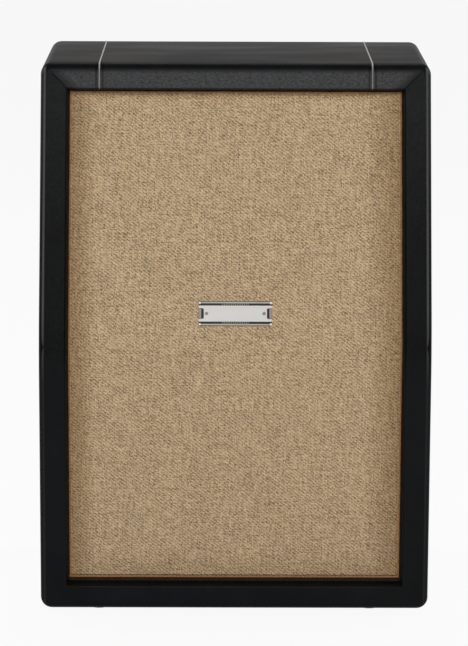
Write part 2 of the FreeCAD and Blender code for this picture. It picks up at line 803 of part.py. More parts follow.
# Rolled edge: a cord in the corner between the cloth and the opening's walls, one length for each half
x_roll = open_half - dims.roll_radius - dims.hair
roll_depth = dims.recess - dims.roll_radius - dims.hair
roll_meet = roll_depth * mitre + dims.hair
roll_edge = dims.roll_radius + dims.hair
rolls = []
for end, far, to_front in (
    (-roll_meet, climb_sill + roll_edge, lambda depth, climb: (depth, climb)),
    (roll_meet, climb_lintel - roll_edge, leaned),
):
    corners = ((-x_roll, end), (-x_roll, far), (x_roll, far), (x_roll, end))
    route = [front_place(x, *to_front(roll_depth, climb)) for x, climb in corners]
    rolls.append(rod(route, dims.roll_radius.number(), dims.roll_bend.number()))
grille_piping = bars("grille_piping", rolls)

# Badge: a bare plate with two raised rails, held by a pin at each end
badge_plate = new_body("badge_plate")
badge_outline = rounded(badge_width, dims.badge_height, dims.badge_corner)
pad(badge_plate, Drawing(badge_plate, "XZ_Plane").outline(badge_outline), dims.badge_plate)
rail_x = badge_width / 2 - dims.badge_corner
rail_top = dims.badge_height / 2 - dims.badge_corner
rails = Drawing(badge_plate, "XZ_Plane")
rails.outline(rectangle(-rail_x, rail_x, rail_top - dims.badge_rail_height, rail_top))
rails.outline(rectangle(-rail_x, rail_x, -rail_top, dims.badge_rail_height - rail_top))
pad(badge_plate, rails, dims.badge_plate + dims.badge_rail)
holes = Drawing(badge_plate, "XZ_Plane")
for x in (-badge_screw_x, badge_screw_x):
    holes.circle(x, ZERO, dims.pin_radius + dims.hair)
pocket(badge_plate, holes)
place_on_front(badge_plate, True, dims.recess, badge_climb)
badge_screws = copies("badge_screws", badge_pin, pin_spots)

# Baffles: the upright and the leaning board, mitred where they meet, each cut out for its speaker
bolt_circle = cutout + dims.flange / 2
bolt_spots = [polar(bolt_circle, 22.5 + 45 * i) for i in range(8)]
MIDDLES = {"lower": (False, low_middle), "upper": (True, high_middle)}
lower_sides = [
    (cloth_back, climb_floor + dims.fit),
    (baffle_back, climb_floor + dims.fit),
    (baffle_back, -baffle_back * mitre),
    (cloth_back, -cloth_back * mitre),
]
upper_sides = [
    (cloth_back, cloth_back * mitre),
    (baffle_back, baffle_back * mitre),
    (baffle_back, climb_roof(baffle_back) - dims.fit),
    (cloth_back, climb_roof(cloth_back) - dims.fit),
]
baffles = []
for name, sides in (("lower", lower_sides), ("upper", upper_sides)):
    leans, middle = MIDDLES[name]
    board = new_body(f"{name}_baffle")
    pad(board, Drawing(board, "YZ_Plane").outline(sides), (inner_half - dims.fit) * 2, "Symmetric")
    holes = Drawing(board, "XZ_Plane").circle(ZERO, middle, cutout)
    wells = Drawing(board, "XZ_Plane")
    for x, z in bolt_spots:
        holes.circle(x, middle + z, dims.bolt_radius + dims.hair)
        wells.circle(x, middle + z, dims.bolt_head + dims.hair)
    if leans:
        for x in (-badge_screw_x, badge_screw_x):
            holes.circle(x, badge_climb, dims.pin_radius + dims.hair)
    pocket(board, holes)
    pocket(board, wells, cloth_back + dims.bolt_head_height + dims.hair)
    place_on_front(board, leans)
    baffles.append(board)

# Cleats behind the baffles, glued to the sides
lower_strip = [
    (baffle_back, climb_floor),
    (cleat_back, climb_floor),
    (cleat_back, -cleat_back * mitre),
    (baffle_back, -baffle_back * mitre),
]
upper_strip = [
    (baffle_back, baffle_back * mitre),
    (cleat_back, cleat_back * mitre),
    (cleat_back, climb_roof(cleat_back)),
    (baffle_back, climb_roof(baffle_back)),
]
strips = []
for leans, steps in ((False, lower_strip), (True, upper_strip)):
    for x in (-inner_half, inner_half - dims.cleat):
        cleat = new_body("baffle_cleat")
        pad(cleat, Drawing(cleat, "YZ_Plane").outline(steps), dims.cleat)
        place_on_front(cleat, leans, x=x)
        strips.append(cleat)
baffle_cleats = together("baffle_cleats", strips)

# Back: a covered board let into the case and screwed to a frame of cleats, with a hole for the jack
climb_jack = low_middle - magnet_radius - dims.jack_drop
z_jack = z_break + climb_jack
plate_screw_spot = dims.jack_plate_side / 2 - dims.plate_screw_inset
both_ways = (-plate_screw_spot, plate_screw_spot)
plate_spots = [(x, z) for x in both_ways for z in both_ways]
x_screw = inner_half - dims.cleat / 2
z_screws = (z_floor + dims.cleat / 2, (z_floor + z_roof) / 2, z_roof - dims.cleat / 2)
back_spots = [(x, z) for x in (-x_screw, x_screw) for z in z_screws]
back_spots += [(x, z) for x in (-x_screw / 3, x_screw / 3) for z in (z_screws[0], z_screws[2])]
screw_hole = dims.screw_radius + dims.hair


def back_sheet(label, y, thickness):
    """A board or covering the size of the back, with its screw holes and the jack's hole."""
    body = new_body(label)
    x = inner_half - dims.fit
    drawing = Drawing(body, "XZ_Plane").outline(rectangle(-x, x, z_floor + dims.fit, z_roof - dims.fit))
    drawing.circle(ZERO, z_jack, dims.jack_radius + dims.jack_clearance)
    for spot_x, z in plate_spots:
        drawing.circle(spot_x, z_jack + z, screw_hole)
    for spot_x, z in back_spots:
        drawing.circle(spot_x, z, screw_hole)
    pad(body, drawing, thickness)
    place(body, ZERO, y, ZERO)
    return body


back_panel = back_sheet("back_panel", back_face - dims.skin, dims.back_board)
back_covering = back_sheet("back_covering", back_face, dims.skin)
back_screws = copies("back_screws", back_screw, [at(x, back_face, z) for x, z in back_spots])

frame = []
x_cleat = inner_half - dims.cleat
for boxes in (
    [rectangle(x, x + dims.cleat, z_floor, z_roof) for x in (-inner_half, x_cleat)],
    [rectangle(-x_cleat, x_cleat, z, z + dims.cleat) for z in (z_floor, z_roof - dims.cleat)],
):
    cleats = new_body("back_cleat")
    drawing = Drawing(cleats, "XZ_Plane")
    for box in boxes:
        drawing.outline(box)
    pad(cleats, drawing, dims.cleat)
    holes = Drawing(cleats, "XZ_Plane")
    for x, z in back_spots:
        holes.circle(x, z, screw_hole)
    pocket(cleats, holes)
    place(cleats, ZERO, board_front, ZERO)
    frame.append(cleats)
back_cleats = together("back_cleats", frame)

# Jack: a threaded neck through a steel plate, held by its nut
jack_plate = new_body("jack_plate")
drawing = Drawing(jack_plate, "XZ_Plane")
drawing.outline(rounded(dims.jack_plate_side, dims.jack_plate_side, dims.plate_corner))
drawing.circle(ZERO, ZERO, dims.bushing_radius + dims.hair)
for x, z in plate_spots:
    drawing.circle(x, z, screw_hole)
pad(jack_plate, drawing, dims.jack_plate, back=True)
place(jack_plate, ZERO, back_face, z_jack)
plate_face = back_face + dims.jack_plate
jack_plate_screws = copies(
    "jack_plate_screws", plate_screw, [at(x, plate_face, z_jack + z) for x, z in plate_spots]
)
input_jack = revolve("input_jack", "XY_Plane", [
    (ZERO, -dims.jack_length),
    (dims.jack_radius, -dims.jack_length),
    (dims.jack_radius, ZERO),
    (dims.bushing_radius, ZERO),
    (dims.bushing_radius, dims.bushing_length),
    (dims.jack_bore, dims.bushing_length),
    (dims.jack_bore, -dims.jack_bore_depth),
    (ZERO, -dims.jack_bore_depth),
])
place(input_jack, ZERO, back_face, z_jack)


def hexagon(flat):
    """A six-sided outline, from its middle's distance to a side."""
    corner = flat / round(math.cos(math.radians(30)), 6)
    return [polar(corner, 60 * i) for i in range(6)]


jack_nut = new_body("jack_nut")
drawing = Drawing(jack_nut, "XZ_Plane").outline(hexagon(dims.jack_nut_flat))
drawing.circle(ZERO, ZERO, dims.bushing_radius + dims.hair)
pad(jack_nut, drawing, dims.jack_nut, back=True)
place(jack_nut, ZERO, plate_face, z_jack)


# Speakers, drawn with the baffle's back at zero and their axis running back
former_radius = cutout * dims.former_share
ledge_radius = cutout * dims.ledge_share
seat_radius = cutout * dims.seat_share
cap_radius = cutout * dims.cap_share
plate_radius = cutout * dims.plate_share
arch_outer = cutout - dims.surround_room - dims.surround_land
arch_inner = arch_outer - dims.arch_width
cone_radius = arch_inner - dims.cone_land
basket_mouth = arch_outer - dims.mouth_lip
flange_back = dims.gasket + dims.basket_steel
neck = former_radius + dims.hair
coil_outside = former_radius + dims.winding
magnet_face = dims.seat_depth + dims.basket_steel
magnet_front = magnet_face + dims.front_plate
magnet_back = magnet_front + dims.magnet
strip_depth = (dims.ledge_depth + dims.seat_depth) / 2 + dims.basket_steel
strip_top = seat_radius + dims.basket_steel + dims.hair
tab_end = strip_top + dims.strip_height + dims.tab_length
arch_share = 0.54
window_share = 0.32
ripple_count = 5


def cone_face(radius):
    """How far behind the baffle the cone's front is, at a radius."""
    return dims.cone_front + (cone_radius - radius) * dims.cone_depth / (cone_radius - neck)


def bolt_holes(body):
    holes = Drawing(body, "XZ_Plane")
    for x, z in bolt_spots:
        holes.circle(x, z, dims.bolt_radius + dims.hair)
    pocket(body, holes)


def make_gasket(label):
    gasket = ring(label, cutout, speaker_radius, ZERO, dims.gasket)
    bolt_holes(gasket)
    return gasket


def make_basket(label):
    """A pressed cup: flange, sloping wall with six windows, the spider's ledge, and the floor."""
    steel = dims.basket_steel
    throat = coil_outside + dims.throat_room
    basket = revolve(label, "XY_Plane", [
        (speaker_radius, dims.gasket),
        (speaker_radius, flange_back),
        (basket_mouth + steel, flange_back),
        (ledge_radius + steel, dims.ledge_depth + steel),
        (seat_radius + steel, dims.ledge_depth + steel),
        (seat_radius + steel, magnet_face),
        (throat, magnet_face),
        (throat, dims.seat_depth),
        (seat_radius, dims.seat_depth),
        (seat_radius, dims.ledge_depth),
        (ledge_radius, dims.ledge_depth),
        (basket_mouth, dims.gasket),
    ])
    low = ledge_radius + dims.window_rim
    high = basket_mouth - dims.window_rim
    sides = [
        (-low * window_share, low),
        (low * window_share, low),
        (high * window_share, high),
        (-high * window_share, high),
    ]
    opening = pocket(basket, Drawing(basket, "XZ_Plane").outline(sides))
    windows = basket.newObject("PartDesign::PolarPattern", f"{label}_windows")
    windows.Originals = [opening]
    windows.Axis = ([o for o in basket.Origin.OriginFeatures if o.Role == "Y_Axis"][0], [""])
    windows.Angle = 360
    windows.Occurrences = 6
    basket.Tip = windows
    doc.recompute()
    bolt_holes(basket)
    return basket


def make_surround(label):
    front = dims.gasket - dims.paper
    bend = dims.arch_width * arch_share
    rim = cutout - dims.surround_room
    return revolve(label, "XY_Plane", [
        (rim, dims.gasket),
        (rim, front),
        (arch_outer, front),
        Arc(bend, "right"),
        (arch_inner, front),
        (cone_radius + dims.hair, front),
        (cone_radius + dims.hair, dims.gasket),
        (arch_inner, dims.gasket),
        Arc(bend, "left"),
        (arch_outer, dims.gasket),
    ])


def make_cone(label):
    return revolve(label, "XY_Plane", [
        (cone_radius, dims.cone_front),
        (cone_radius, dims.cone_front + dims.cone_paper),
        (neck, cone_face(neck) + dims.cone_paper),
        (neck, cone_face(neck)),
    ])


def make_dust_cap(label):
    rim = cone_face(cap_radius) - dims.hair - dims.paper
    bend = (cap_radius * cap_radius + dims.cap_rise * dims.cap_rise) / (dims.cap_rise * 2)
    return revolve(label, "XY_Plane", [
        (cap_radius, rim),
        Arc(bend, "right"),
        (ZERO, rim - dims.cap_rise),
        (ZERO, rim - dims.cap_rise + dims.paper),
        Arc(bend, "left"),
        (cap_radius, rim + dims.paper),
    ])


def make_voice_coil(label):
    inside = former_radius - dims.former_wall
    wound = dims.former_end - dims.winding_length
    return revolve(label, "XY_Plane", [
        (inside, dims.former_start),
        (former_radius, dims.former_start),
        (former_radius, wound),
        (coil_outside, wound),
        (coil_outside, dims.former_end),
        (inside, dims.former_end),
    ])


def make_spider(label):
    """A rippled disc from the ledge to the former."""
    span = seat_radius - neck - dims.hair
    crests = []
    for i in range(2 * ripple_count + 1):
        radius = seat_radius - span * (i / (2 * ripple_count))
        crests.append((radius, dims.ledge_depth - dims.ripple if i % 2 else dims.ledge_depth))
    edge = ledge_radius - dims.hair
    back = [(edge, dims.ledge_depth), *crests]
    return revolve(label, "XY_Plane", back + [(x, y - dims.paper) for x, y in reversed(back)])


def make_front_plate(label):
    return ring(label, coil_outside + dims.coil_gap, plate_radius, magnet_face, magnet_front)


def make_magnet(label):
    return ring(label, cutout * dims.magnet_bore_share, magnet_radius, magnet_front, magnet_back)


def make_back_plate(label):
    """A disc with the pole standing on it, vented through its middle."""
    pole = former_radius - dims.former_wall - dims.coil_gap
    return revolve(label, "XY_Plane", [
        (dims.vent_radius, magnet_face),
        (pole, magnet_face),
        (pole, magnet_back),
        (plate_radius, magnet_back),
        (plate_radius, magnet_back + dims.back_plate),
        (dims.vent_radius, magnet_back + dims.back_plate),
    ])


def make_terminal_strip(label):
    """A strip across the basket's neck, with four solder tabs that point down."""
    strip = new_body(label)
    x = dims.strip_length / 2
    low = -strip_top - dims.strip_height
    board = Drawing(strip, "XZ_Plane").outline(rectangle(-x, x, low, -strip_top))
    pad(strip, board, dims.strip_width, "Symmetric")
    tabs = Drawing(strip, "XZ_Plane")
    for tab in (-dims.outer_tab, -dims.inner_tab, dims.inner_tab, dims.outer_tab):
        x0, x1 = tab - dims.tab_half, tab + dims.tab_half
        tabs.outline(rectangle(x0, x1, -tab_end, low + dims.strip_height / 2))
    pad(strip, tabs, dims.tab_steel, "Symmetric")
    return strip


MAKERS = {
    "gasket": make_gasket,
    "basket": make_basket,
    "surround": make_surround,
    "cone": make_cone,
    "dust_cap": make_dust_cap,
    "voice_coil": make_voice_coil,
    "spider": make_spider,
    "front_plate": make_front_plate,
    "magnet": make_magnet,
    "back_plate": make_back_plate,
    "terminal_strip": make_terminal_strip,
}
speaker_parts = []
speaker_frames = []
for name, (leans, middle) in MIDDLES.items():
    for part_name, make in MAKERS.items():
        part = make(f"{name}_{part_name}")
        inward = strip_depth if part_name == "terminal_strip" else ZERO
        place_on_front(part, leans, baffle_back + inward, middle)
        speaker_parts.append(part)
    run, up = leaned(baffle_back, middle) if leans else (baffle_back, middle)
    turn = FreeCAD.Rotation(Vector(1, 0, 0), -lean if leans else 0)
    speaker_frames.append(FreeCAD.Placement(front_place(ZERO, run, up), turn))

# Speaker bolts and nuts, eight to a speaker, with the heads sunk in the baffle under the cloth
bolt_end = flange_back + dims.nut + dims.bolt_tail
head_back = dims.bolt_head_height - dims.baffle
speaker_bolt = revolve("speaker_bolt", "XY_Plane", [
    (ZERO, -dims.baffle),
    (dims.bolt_head, -dims.baffle),
    (dims.bolt_head, head_back),
    (dims.bolt_radius, head_back),
    (dims.bolt_radius, bolt_end),
    (ZERO, bolt_end),
])
speaker_nut = new_body("speaker_nut")
drawing = Drawing(speaker_nut, "XZ_Plane").outline(hexagon(dims.nut_flat))
drawing.circle(ZERO, ZERO, dims.bolt_radius + dims.hair)
pad(speaker_nut, drawing, dims.nut, back=True)
bolt_places = [f.multiply(at(x, ZERO, z)) for f in speaker_frames for x, z in bolt_spots]
nut_places = [f.multiply(at(x, flange_back, z)) for f in speaker_frames for x, z in bolt_spots]
speaker_bolts = copies("speaker_bolts", speaker_bolt, bolt_places)
speaker_nuts = copies("speaker_nuts", speaker_nut, nut_places)

# Leads, in pairs: jack to lower speaker, and lower speaker to upper one round behind the magnets
lower_tab = (baffle_back + strip_depth, low_middle - tab_end - dims.hair)
upper_tab = leaned(baffle_back + strip_depth, high_middle - tab_end - dims.hair)
upper_turn = leaned(baffle_back + strip_depth, high_middle - tab_end - dims.lead_turn)
jack_tail = dims.depth - dims.back_recess - dims.jack_length - dims.hair
jack_route = [lower_tab, (lower_tab[0], climb_jack), (jack_tail, climb_jack)]
lead_behind = baffle_back + magnet_back + dims.back_plate + dims.lead_reach
dip = lower_tab[1] - dims.lead_drop
link_route = [
    lower_tab,
    (lower_tab[0], dip),
    (lead_behind, dip),
    (lead_behind, upper_turn[1]),
    upper_turn,
    upper_tab,
]


def leads(label, tab, route):
    """A pair of round leads, one each side of the middle."""
    pair = []
    for x in (-tab, tab):
        points = [front_place(x, depth, climb) for depth, climb in route]
        pair.append(rod(points, dims.lead_radius.number(), dims.lead_bend.number()))
    return bars(label, pair)


jack_leads = leads("jack_leads", dims.inner_tab, jack_route)
link_leads = leads("link_leads", dims.outer_tab, link_route)

# Every node of the cabinet, checked and then written
nodes = [
    top_panel, bottom_panel, left_side_panel, right_side_panel,
    front_top_rail, front_bottom_rail, *stiles,
    wrap_covering, top_covering, *pipings,
    grille_cloth, grille_piping, badge_plate, badge_screws,
    *baffles, baffle_cleats, back_cleats,
    back_panel, back_covering, back_screws,
    jack_plate, input_jack, jack_nut, jack_plate_screws, jack_leads, link_leads,
    *speaker_parts, speaker_bolts, speaker_nuts,
    *dishes, handle_screws, rubber_feet, foot_screws,
]
doc.recompute()
failed = [o.Label for o in doc.Objects if {"Invalid", "Error"} & set(o.State)]
failed += [n.Label for n in nodes if n.Shape.isNull() or not n.Shape.isValid() or not n.Shape.Solids]
if failed:
    raise RuntimeError(f"these pieces failed: {failed}")
os.makedirs("parts", exist_ok=True)
for node in nodes:
    node.Shape.exportStep(f"parts/{node.Label}.step")
print(f"{len(nodes)} nodes, {sum(len(n.Shape.Solids) for n in nodes)} solids")
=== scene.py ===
"""Looks of the guitar speaker cabinet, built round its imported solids. Lengths are in metres, +Z is up and the
grille faces -Y.
"""
import math

import bmesh
import bpy
from mathutils import Matrix, Vector


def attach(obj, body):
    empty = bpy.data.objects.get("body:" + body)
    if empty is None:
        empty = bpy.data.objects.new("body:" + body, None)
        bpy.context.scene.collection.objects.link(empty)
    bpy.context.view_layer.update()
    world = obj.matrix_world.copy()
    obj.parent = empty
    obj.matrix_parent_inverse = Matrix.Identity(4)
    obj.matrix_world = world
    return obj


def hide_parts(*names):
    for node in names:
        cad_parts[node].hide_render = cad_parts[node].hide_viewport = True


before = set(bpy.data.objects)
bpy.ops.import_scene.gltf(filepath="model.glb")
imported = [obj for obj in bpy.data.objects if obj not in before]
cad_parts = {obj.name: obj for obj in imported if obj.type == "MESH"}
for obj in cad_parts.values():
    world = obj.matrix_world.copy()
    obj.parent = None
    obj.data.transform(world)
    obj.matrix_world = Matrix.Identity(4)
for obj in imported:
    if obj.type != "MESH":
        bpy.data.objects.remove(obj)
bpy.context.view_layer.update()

# Wooden shell: ply panels, front frame, speaker boards and cleats, glued and screwed together.
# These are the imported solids. All but their edges is hidden under the covering.


class Finish:
    """A material of nodes. Its patterns read the piece's own coordinates, so they are in metres."""

    def __init__(self, name, colour, roughness, **constants):
        self.material = bpy.data.materials.new(name)
        self.material.use_nodes = True
        self.tree = self.material.node_tree
        self.shader = self.tree.nodes["Principled BSDF"]
        self.give(self.shader, {"Base Color": colour, "Roughness": roughness})
        self.give(self.shader, {key.replace("_", " "): value for key, value in constants.items()})

    def give(self, node, inputs):
        """Links or sets a node's inputs. Three numbers for a colour get their alpha."""
        for key, value in inputs.items():
            socket = node.inputs[key]
            if isinstance(value, bpy.types.NodeSocket):
                self.tree.links.new(value, socket)
            elif socket.type == "RGBA":
                socket.default_value = (*value, 1)
            else:
                socket.default_value = value

    def node(self, kind, inputs, output=0, **settings):
        """Adds a node and returns one of its outputs."""
        made = self.tree.nodes.new(f"ShaderNode{kind}")
        for name, value in settings.items():
            setattr(made, name, value)
        self.give(made, inputs)
        return made.outputs[output]

    def place(self, stretch=(1, 1, 1), on=None):
        """The piece's own coordinates, or others, multiplied each way."""
        if on is None:
            on = self.node("TexCoord", {}, "Object")
        return self.node("VectorMath", {0: on, 1: stretch}, operation="MULTIPLY")

    def axis(self, name, on=None):
        """One of the piece's own coordinates, or of others."""
        return self.node("SeparateXYZ", {0: self.place(on=on)}, name)

    def noise(self, scale, detail=3, stretch=(1, 1, 1), on=None):
        """Soft clouds, drawn out where the stretch is small."""
        return self.node("TexNoise", {"Vector": self.place(stretch, on), "Scale": scale, "Detail": detail})

    def math(self, operation, first, second=0.0, third=0.0):
        return self.node("Math", {0: first, 1: second, 2: third}, operation=operation)

    def times(self, first, *others):
        """Multiplies values together."""
        for other in others:
            first = self.math("MULTIPLY", first, other)
        return first

    def total(self, *shares):
        """Adds up values, each times its weight."""
        added = 0.0
        for value, weight in shares:
            added = self.math("MULTIPLY_ADD", value, weight, added)
        return added

    def spread(self, value, low, high, to_low=0.0, to_high=1.0):
        """Brings a value from one range to another, and holds it there."""
        return self.node("MapRange", {0: value, 1: low, 2: high, 3: to_low, 4: to_high})

    def fade(self, value, full_to, gone_by, strength=1.0):
        """Stays at full strength up to one value and is gone by another."""
        return self.spread(value, full_to, gone_by, strength, 0.0)

    def line(self, value, middle, full_to, gone_by, strength=1.0):
        """A soft line where a value passes its middle."""
        off = self.math("ABSOLUTE", self.math("SUBTRACT", value, middle))
        return self.fade(off, full_to, gone_by, strength)

    def between(self, share, first, second):
        """A number part of the way from one value to another."""
        return self.node("Mix", {0: share, 2: first, 3: second})

    def mix(self, share, first, second, blend="MIX"):
        """A colour part of the way from one to another."""
        return self.node("Mix", {0: share, 6: first, 7: second}, 2, data_type="RGBA", blend_type=blend)

    def bump(self, height, distance, strength=1.0):
        """Raises the surface by a pattern."""
        normal = self.node("Bump", {"Height": height, "Distance": distance, "Strength": strength})
        self.give(self.shader, {"Normal": normal})


def dress(finish, *names):
    """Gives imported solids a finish."""
    for name in names:
        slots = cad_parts[name].data.materials
        slots.clear()
        slots.append(finish.material)


raw_ply = Finish("raw_ply", (0.42, 0.29, 0.17), 0.7)
ply_brown, ply_pale = (0.36, 0.24, 0.13), (0.5, 0.36, 0.22)
ply_grain = raw_ply.noise(30, 6, (1, 1, 0.06))
ply_fleck = raw_ply.noise(260, 2, (1, 1, 0.1))
ply_tone = raw_ply.mix(raw_ply.spread(ply_grain, 0.35, 0.65), ply_brown, ply_pale)
raw_ply.give(raw_ply.shader, {"Base Color": ply_tone})
raw_ply.bump(ply_fleck, 0.0002)
dress(
    raw_ply, "top_panel", "bottom_panel", "left_side_panel", "right_side_panel", "front_top_rail",
    "front_bottom_rail", "left_front_stile", "right_front_stile", "lower_baffle", "upper_baffle",
    "baffle_cleats", "back_cleats", "back_panel",
)

# Speakers: pressed steel baskets with paper cones, cloth surrounds and spiders, and ferrite magnets.
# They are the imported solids, bolted to the boards from behind and closed in by cloth and back.
black_paint = Finish("black_paint", (0.015, 0.015, 0.016), 0.45)
black_paint.bump(black_paint.noise(900), 0.0001)
paper_pulp = Finish("paper_pulp", (0.03, 0.028, 0.026), 0.9)
paper_pulp.bump(paper_pulp.noise(700, 5), 0.0003)
doped_cloth = Finish("doped_cloth", (0.16, 0.1, 0.04), 0.6)
doped_cloth.bump(doped_cloth.noise(1200, 2), 0.0002)
felt_ring = Finish("felt_ring", (0.1, 0.09, 0.075), 0.95)
felt_ring.bump(felt_ring.noise(1500, 4), 0.0003)
copper_wire = Finish("copper_wire", (0.5, 0.22, 0.1), 0.35, Metallic=1.0)
copper_wire.bump(copper_wire.noise(2000, 1, (0.02, 1, 0.02)), 0.0001)
ferrite = Finish("ferrite", (0.03, 0.03, 0.032), 0.7)
ferrite.bump(ferrite.noise(800, 5), 0.0002)
zinc_plate = Finish("zinc_plate", (0.5, 0.5, 0.48), 0.35, Metallic=1.0)
zinc_cloud = zinc_plate.noise(60, 5)
zinc_plate.give(zinc_plate.shader, {"Roughness": zinc_plate.spread(zinc_cloud, 0.3, 0.7, 0.25, 0.45)})
tag_board = Finish("tag_board", (0.16, 0.08, 0.03), 0.55)
tag_board.bump(tag_board.noise(500), 0.0001)
for where in ("lower", "upper"):
    dress(black_paint, f"{where}_basket")
    dress(paper_pulp, f"{where}_cone", f"{where}_dust_cap")
    dress(doped_cloth, f"{where}_surround", f"{where}_spider")
    dress(felt_ring, f"{where}_gasket")
    dress(copper_wire, f"{where}_voice_coil")
    dress(ferrite, f"{where}_magnet")
    dress(zinc_plate, f"{where}_front_plate", f"{where}_back_plate")
    dress(tag_board, f"{where}_terminal_strip")
dress(zinc_plate, "speaker_bolts", "speaker_nuts")

# Leads: plastic-covered wire in pairs, soldered to the jack and to the speakers' tabs.
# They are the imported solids, inside the closed case.
wire_cover = Finish("wire_cover", (0.02, 0.02, 0.02), 0.45)
wire_cover.bump(wire_cover.noise(500, 2), 0.0001)
dress(wire_cover, "jack_leads", "link_leads")

# Grille cloth: coarse tan twill of slubby paper-like yarn, painted darker and browner along its edges as the frame's
# shade with some dust, with a painted shadow in the strip between the frame's wall and the cord and a painted shade
# line along the top of the bottom cord. One sheet is stretched over both boards and pinched between them and the
# front frame, and it bends softly where the upper board starts to lean.
case_front, case_break, case_top, set_back = -0.1731, 0.3744, 0.736, 0.1
lean = math.atan2(set_back, case_top - case_break)
open_half, sill, lintel = 0.2222, -0.3238, 0.34137
cloth_half, cloth_low, cloth_high = 0.2377, -0.3366, 0.3609
cloth_depth, cloth_thick, cloth_bend = 0.0225, 0.0008, 0.005
slack = cloth_depth * math.tan(lean / 2)
cord_in, cord_hide, cord_lift = 0.0037, 0.002, 0.0025


def on_front(x, depth, climb):
    """A place on the front: depth behind its face, and climb up from where it starts to lean."""
    if climb <= 0:
        return Vector((x, case_front + depth, case_break + climb))
    run = depth * math.cos(lean) + climb * math.sin(lean)
    return Vector((x, case_front + run, case_break + climb * math.cos(lean) - depth * math.sin(lean)))


def verts_of(geometry):
    """The verts in what an operator made."""
    return [part for part in geometry if isinstance(part, bmesh.types.BMVert)]


def edges_at(mesh, z):
    """The edges that lie at one height."""
    return [e for e in mesh.edges if all(abs(v.co.z - z) < 1e-6 for v in e.verts)]


def ease(mesh, edges, width, steps):
    """Rounds edges."""
    bmesh.ops.bevel(
        mesh, geom=edges, offset=width, offset_type="OFFSET", affect="EDGES", segments=steps, profile=0.5,
        material=-1, clamp_overlap=True,
    )


def make_piece(name, mesh, finish, node):
    """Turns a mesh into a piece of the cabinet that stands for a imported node."""
    data = bpy.data.meshes.new(name)
    mesh.to_mesh(data)
    mesh.free()
    data.materials.append(finish.material)
    data.polygons.foreach_set("use_smooth", [True] * len(data.polygons))
    data.set_sharp_from_angle(angle=math.radians(40))
    made = bpy.data.objects.new(name, data)
    bpy.context.scene.collection.objects.link(made)
    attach(made, "cabinet")
    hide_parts(node)
    return made


twill = Finish("tan_twill", (0.41, 0.3, 0.19), 0.9, Specular_IOR_Level=0.1)
warp_pitch, weft_pitch, yarns_in_repeat = 0.00148, 0.00117, 4.0
sway_scale, sway_reach = 90, 0.0012
hem_wide, cord_shade_at, line_soft = 0.0071, 0.0056, 0.0012
dark_yarn, pale_yarn, shade_and_dust_tint = (0.045, 0.024, 0.011), (0.62, 0.455, 0.28), (0.71, 0.655, 0.58)
gap_shadow_black, stitch_and_shade_brown = (0.005, 0.0028, 0.0015), (0.05, 0.025, 0.012)


def yarn_hump(count):
    """Rises and falls once for each yarn that is counted."""
    return twill.math("SINE", twill.times(twill.math("FRACT", count), math.pi))


laid = twill.node("UVMap", {}, uv_map="cloth")
sway = twill.node("TexNoise", {"Vector": laid, "Scale": sway_scale, "Detail": 3}, "Color")
sway = twill.node("VectorMath", {0: sway, 1: (0.5, 0.5, 0.5)}, operation="SUBTRACT")
swayed = twill.node("VectorMath", {0: sway, 1: (sway_reach,) * 3, 2: laid}, operation="MULTIPLY_ADD")
across, along = twill.axis("X", swayed), twill.axis("Y", swayed)
warp, weft = twill.math("DIVIDE", across, warp_pitch), twill.math("DIVIDE", along, weft_pitch)
warp_number, weft_number = twill.math("FLOOR", warp), twill.math("FLOOR", weft)
step = twill.math("FRACT", twill.math("DIVIDE", twill.math("ADD", warp_number, weft_number), yarns_in_repeat))
warp_over = twill.math("LESS_THAN", step, 0.5)
yarn_round = twill.between(warp_over, yarn_hump(weft), yarn_hump(warp))
rib = yarn_hump(twill.math("DIVIDE", twill.math("ADD", warp, weft), yarns_in_repeat))
relief = twill.total((rib, 0.43), (yarn_round, 0.57))
float_number = twill.node("CombineXYZ", {0: warp_number, 1: weft_number})
float_shade = twill.node("TexWhiteNoise", {"Vector": float_number}, noise_dimensions="2D")
weft_slub = twill.spread(twill.noise(1, 3, (30, 560, 0), laid), 0.3, 0.7)
warp_slub = twill.spread(twill.noise(1, 3, (480, 30, 0), laid), 0.3, 0.7)
cloud = twill.spread(twill.noise(14, 4, on=laid), 0.3, 0.7)
shade = twill.total((float_shade, 0.4), (relief, 0.58), (weft_slub, 0.19), (warp_slub, 0.17), (cloud, 0.03))
yarn = twill.mix(twill.spread(shade, 0.34, 1.07), dark_yarn, pale_yarn)
from_left, from_right = twill.math("ADD", open_half, across), twill.math("SUBTRACT", open_half, across)
from_sill = twill.math("SUBTRACT", along, sill + cord_lift + slack)
from_head = twill.math("SUBTRACT", lintel + cord_hide - slack, along)
# Painted shade, with some dust: the cloth darkens towards its edges, where the frame shades it.
edge_shade_and_dust = 0.0
for from_edge, dark_to, bright_by, strength in (
    (from_left, 0.016, 0.038, 1.0), (from_right, 0.015, 0.051, 1.0), (from_sill, 0.014, 0.045, 0.38),
    (from_head, 0.005, 0.0145, 1.0),
):
    edge_shade_and_dust = twill.math("MAXIMUM", twill.fade(from_edge, dark_to, bright_by, strength), edge_shade_and_dust)
yarn = twill.mix(edge_shade_and_dust, yarn, shade_and_dust_tint, "MULTIPLY")
from_rim = twill.math("MINIMUM", twill.math("MINIMUM", from_left, from_right), from_head)
# Painted shadow: the strip of cloth between the frame's wall and the cord is painted nearly black.
gap_shadow = twill.fade(twill.math("MINIMUM", from_rim, from_sill), cord_in - 0.0015, cord_in - 0.0009, 0.95)
yarn = twill.mix(gap_shadow, yarn, gap_shadow_black)
# A faint dark stitch line runs round the sides and top. Along the top of the bottom cord a darker painted shade line
# marks where the cord meets the cloth.
hem = twill.line(from_rim, hem_wide, 0.0, line_soft, 0.25)
cord_shade_line = twill.line(from_sill, cord_shade_at, 0.0003, line_soft, 0.85)
yarn = twill.mix(twill.math("MAXIMUM", hem, cord_shade_line), yarn, stitch_and_shade_brown)
twill.give(twill.shader, {"Base Color": yarn})
twill.bump(relief, 0.0005, 0.8)

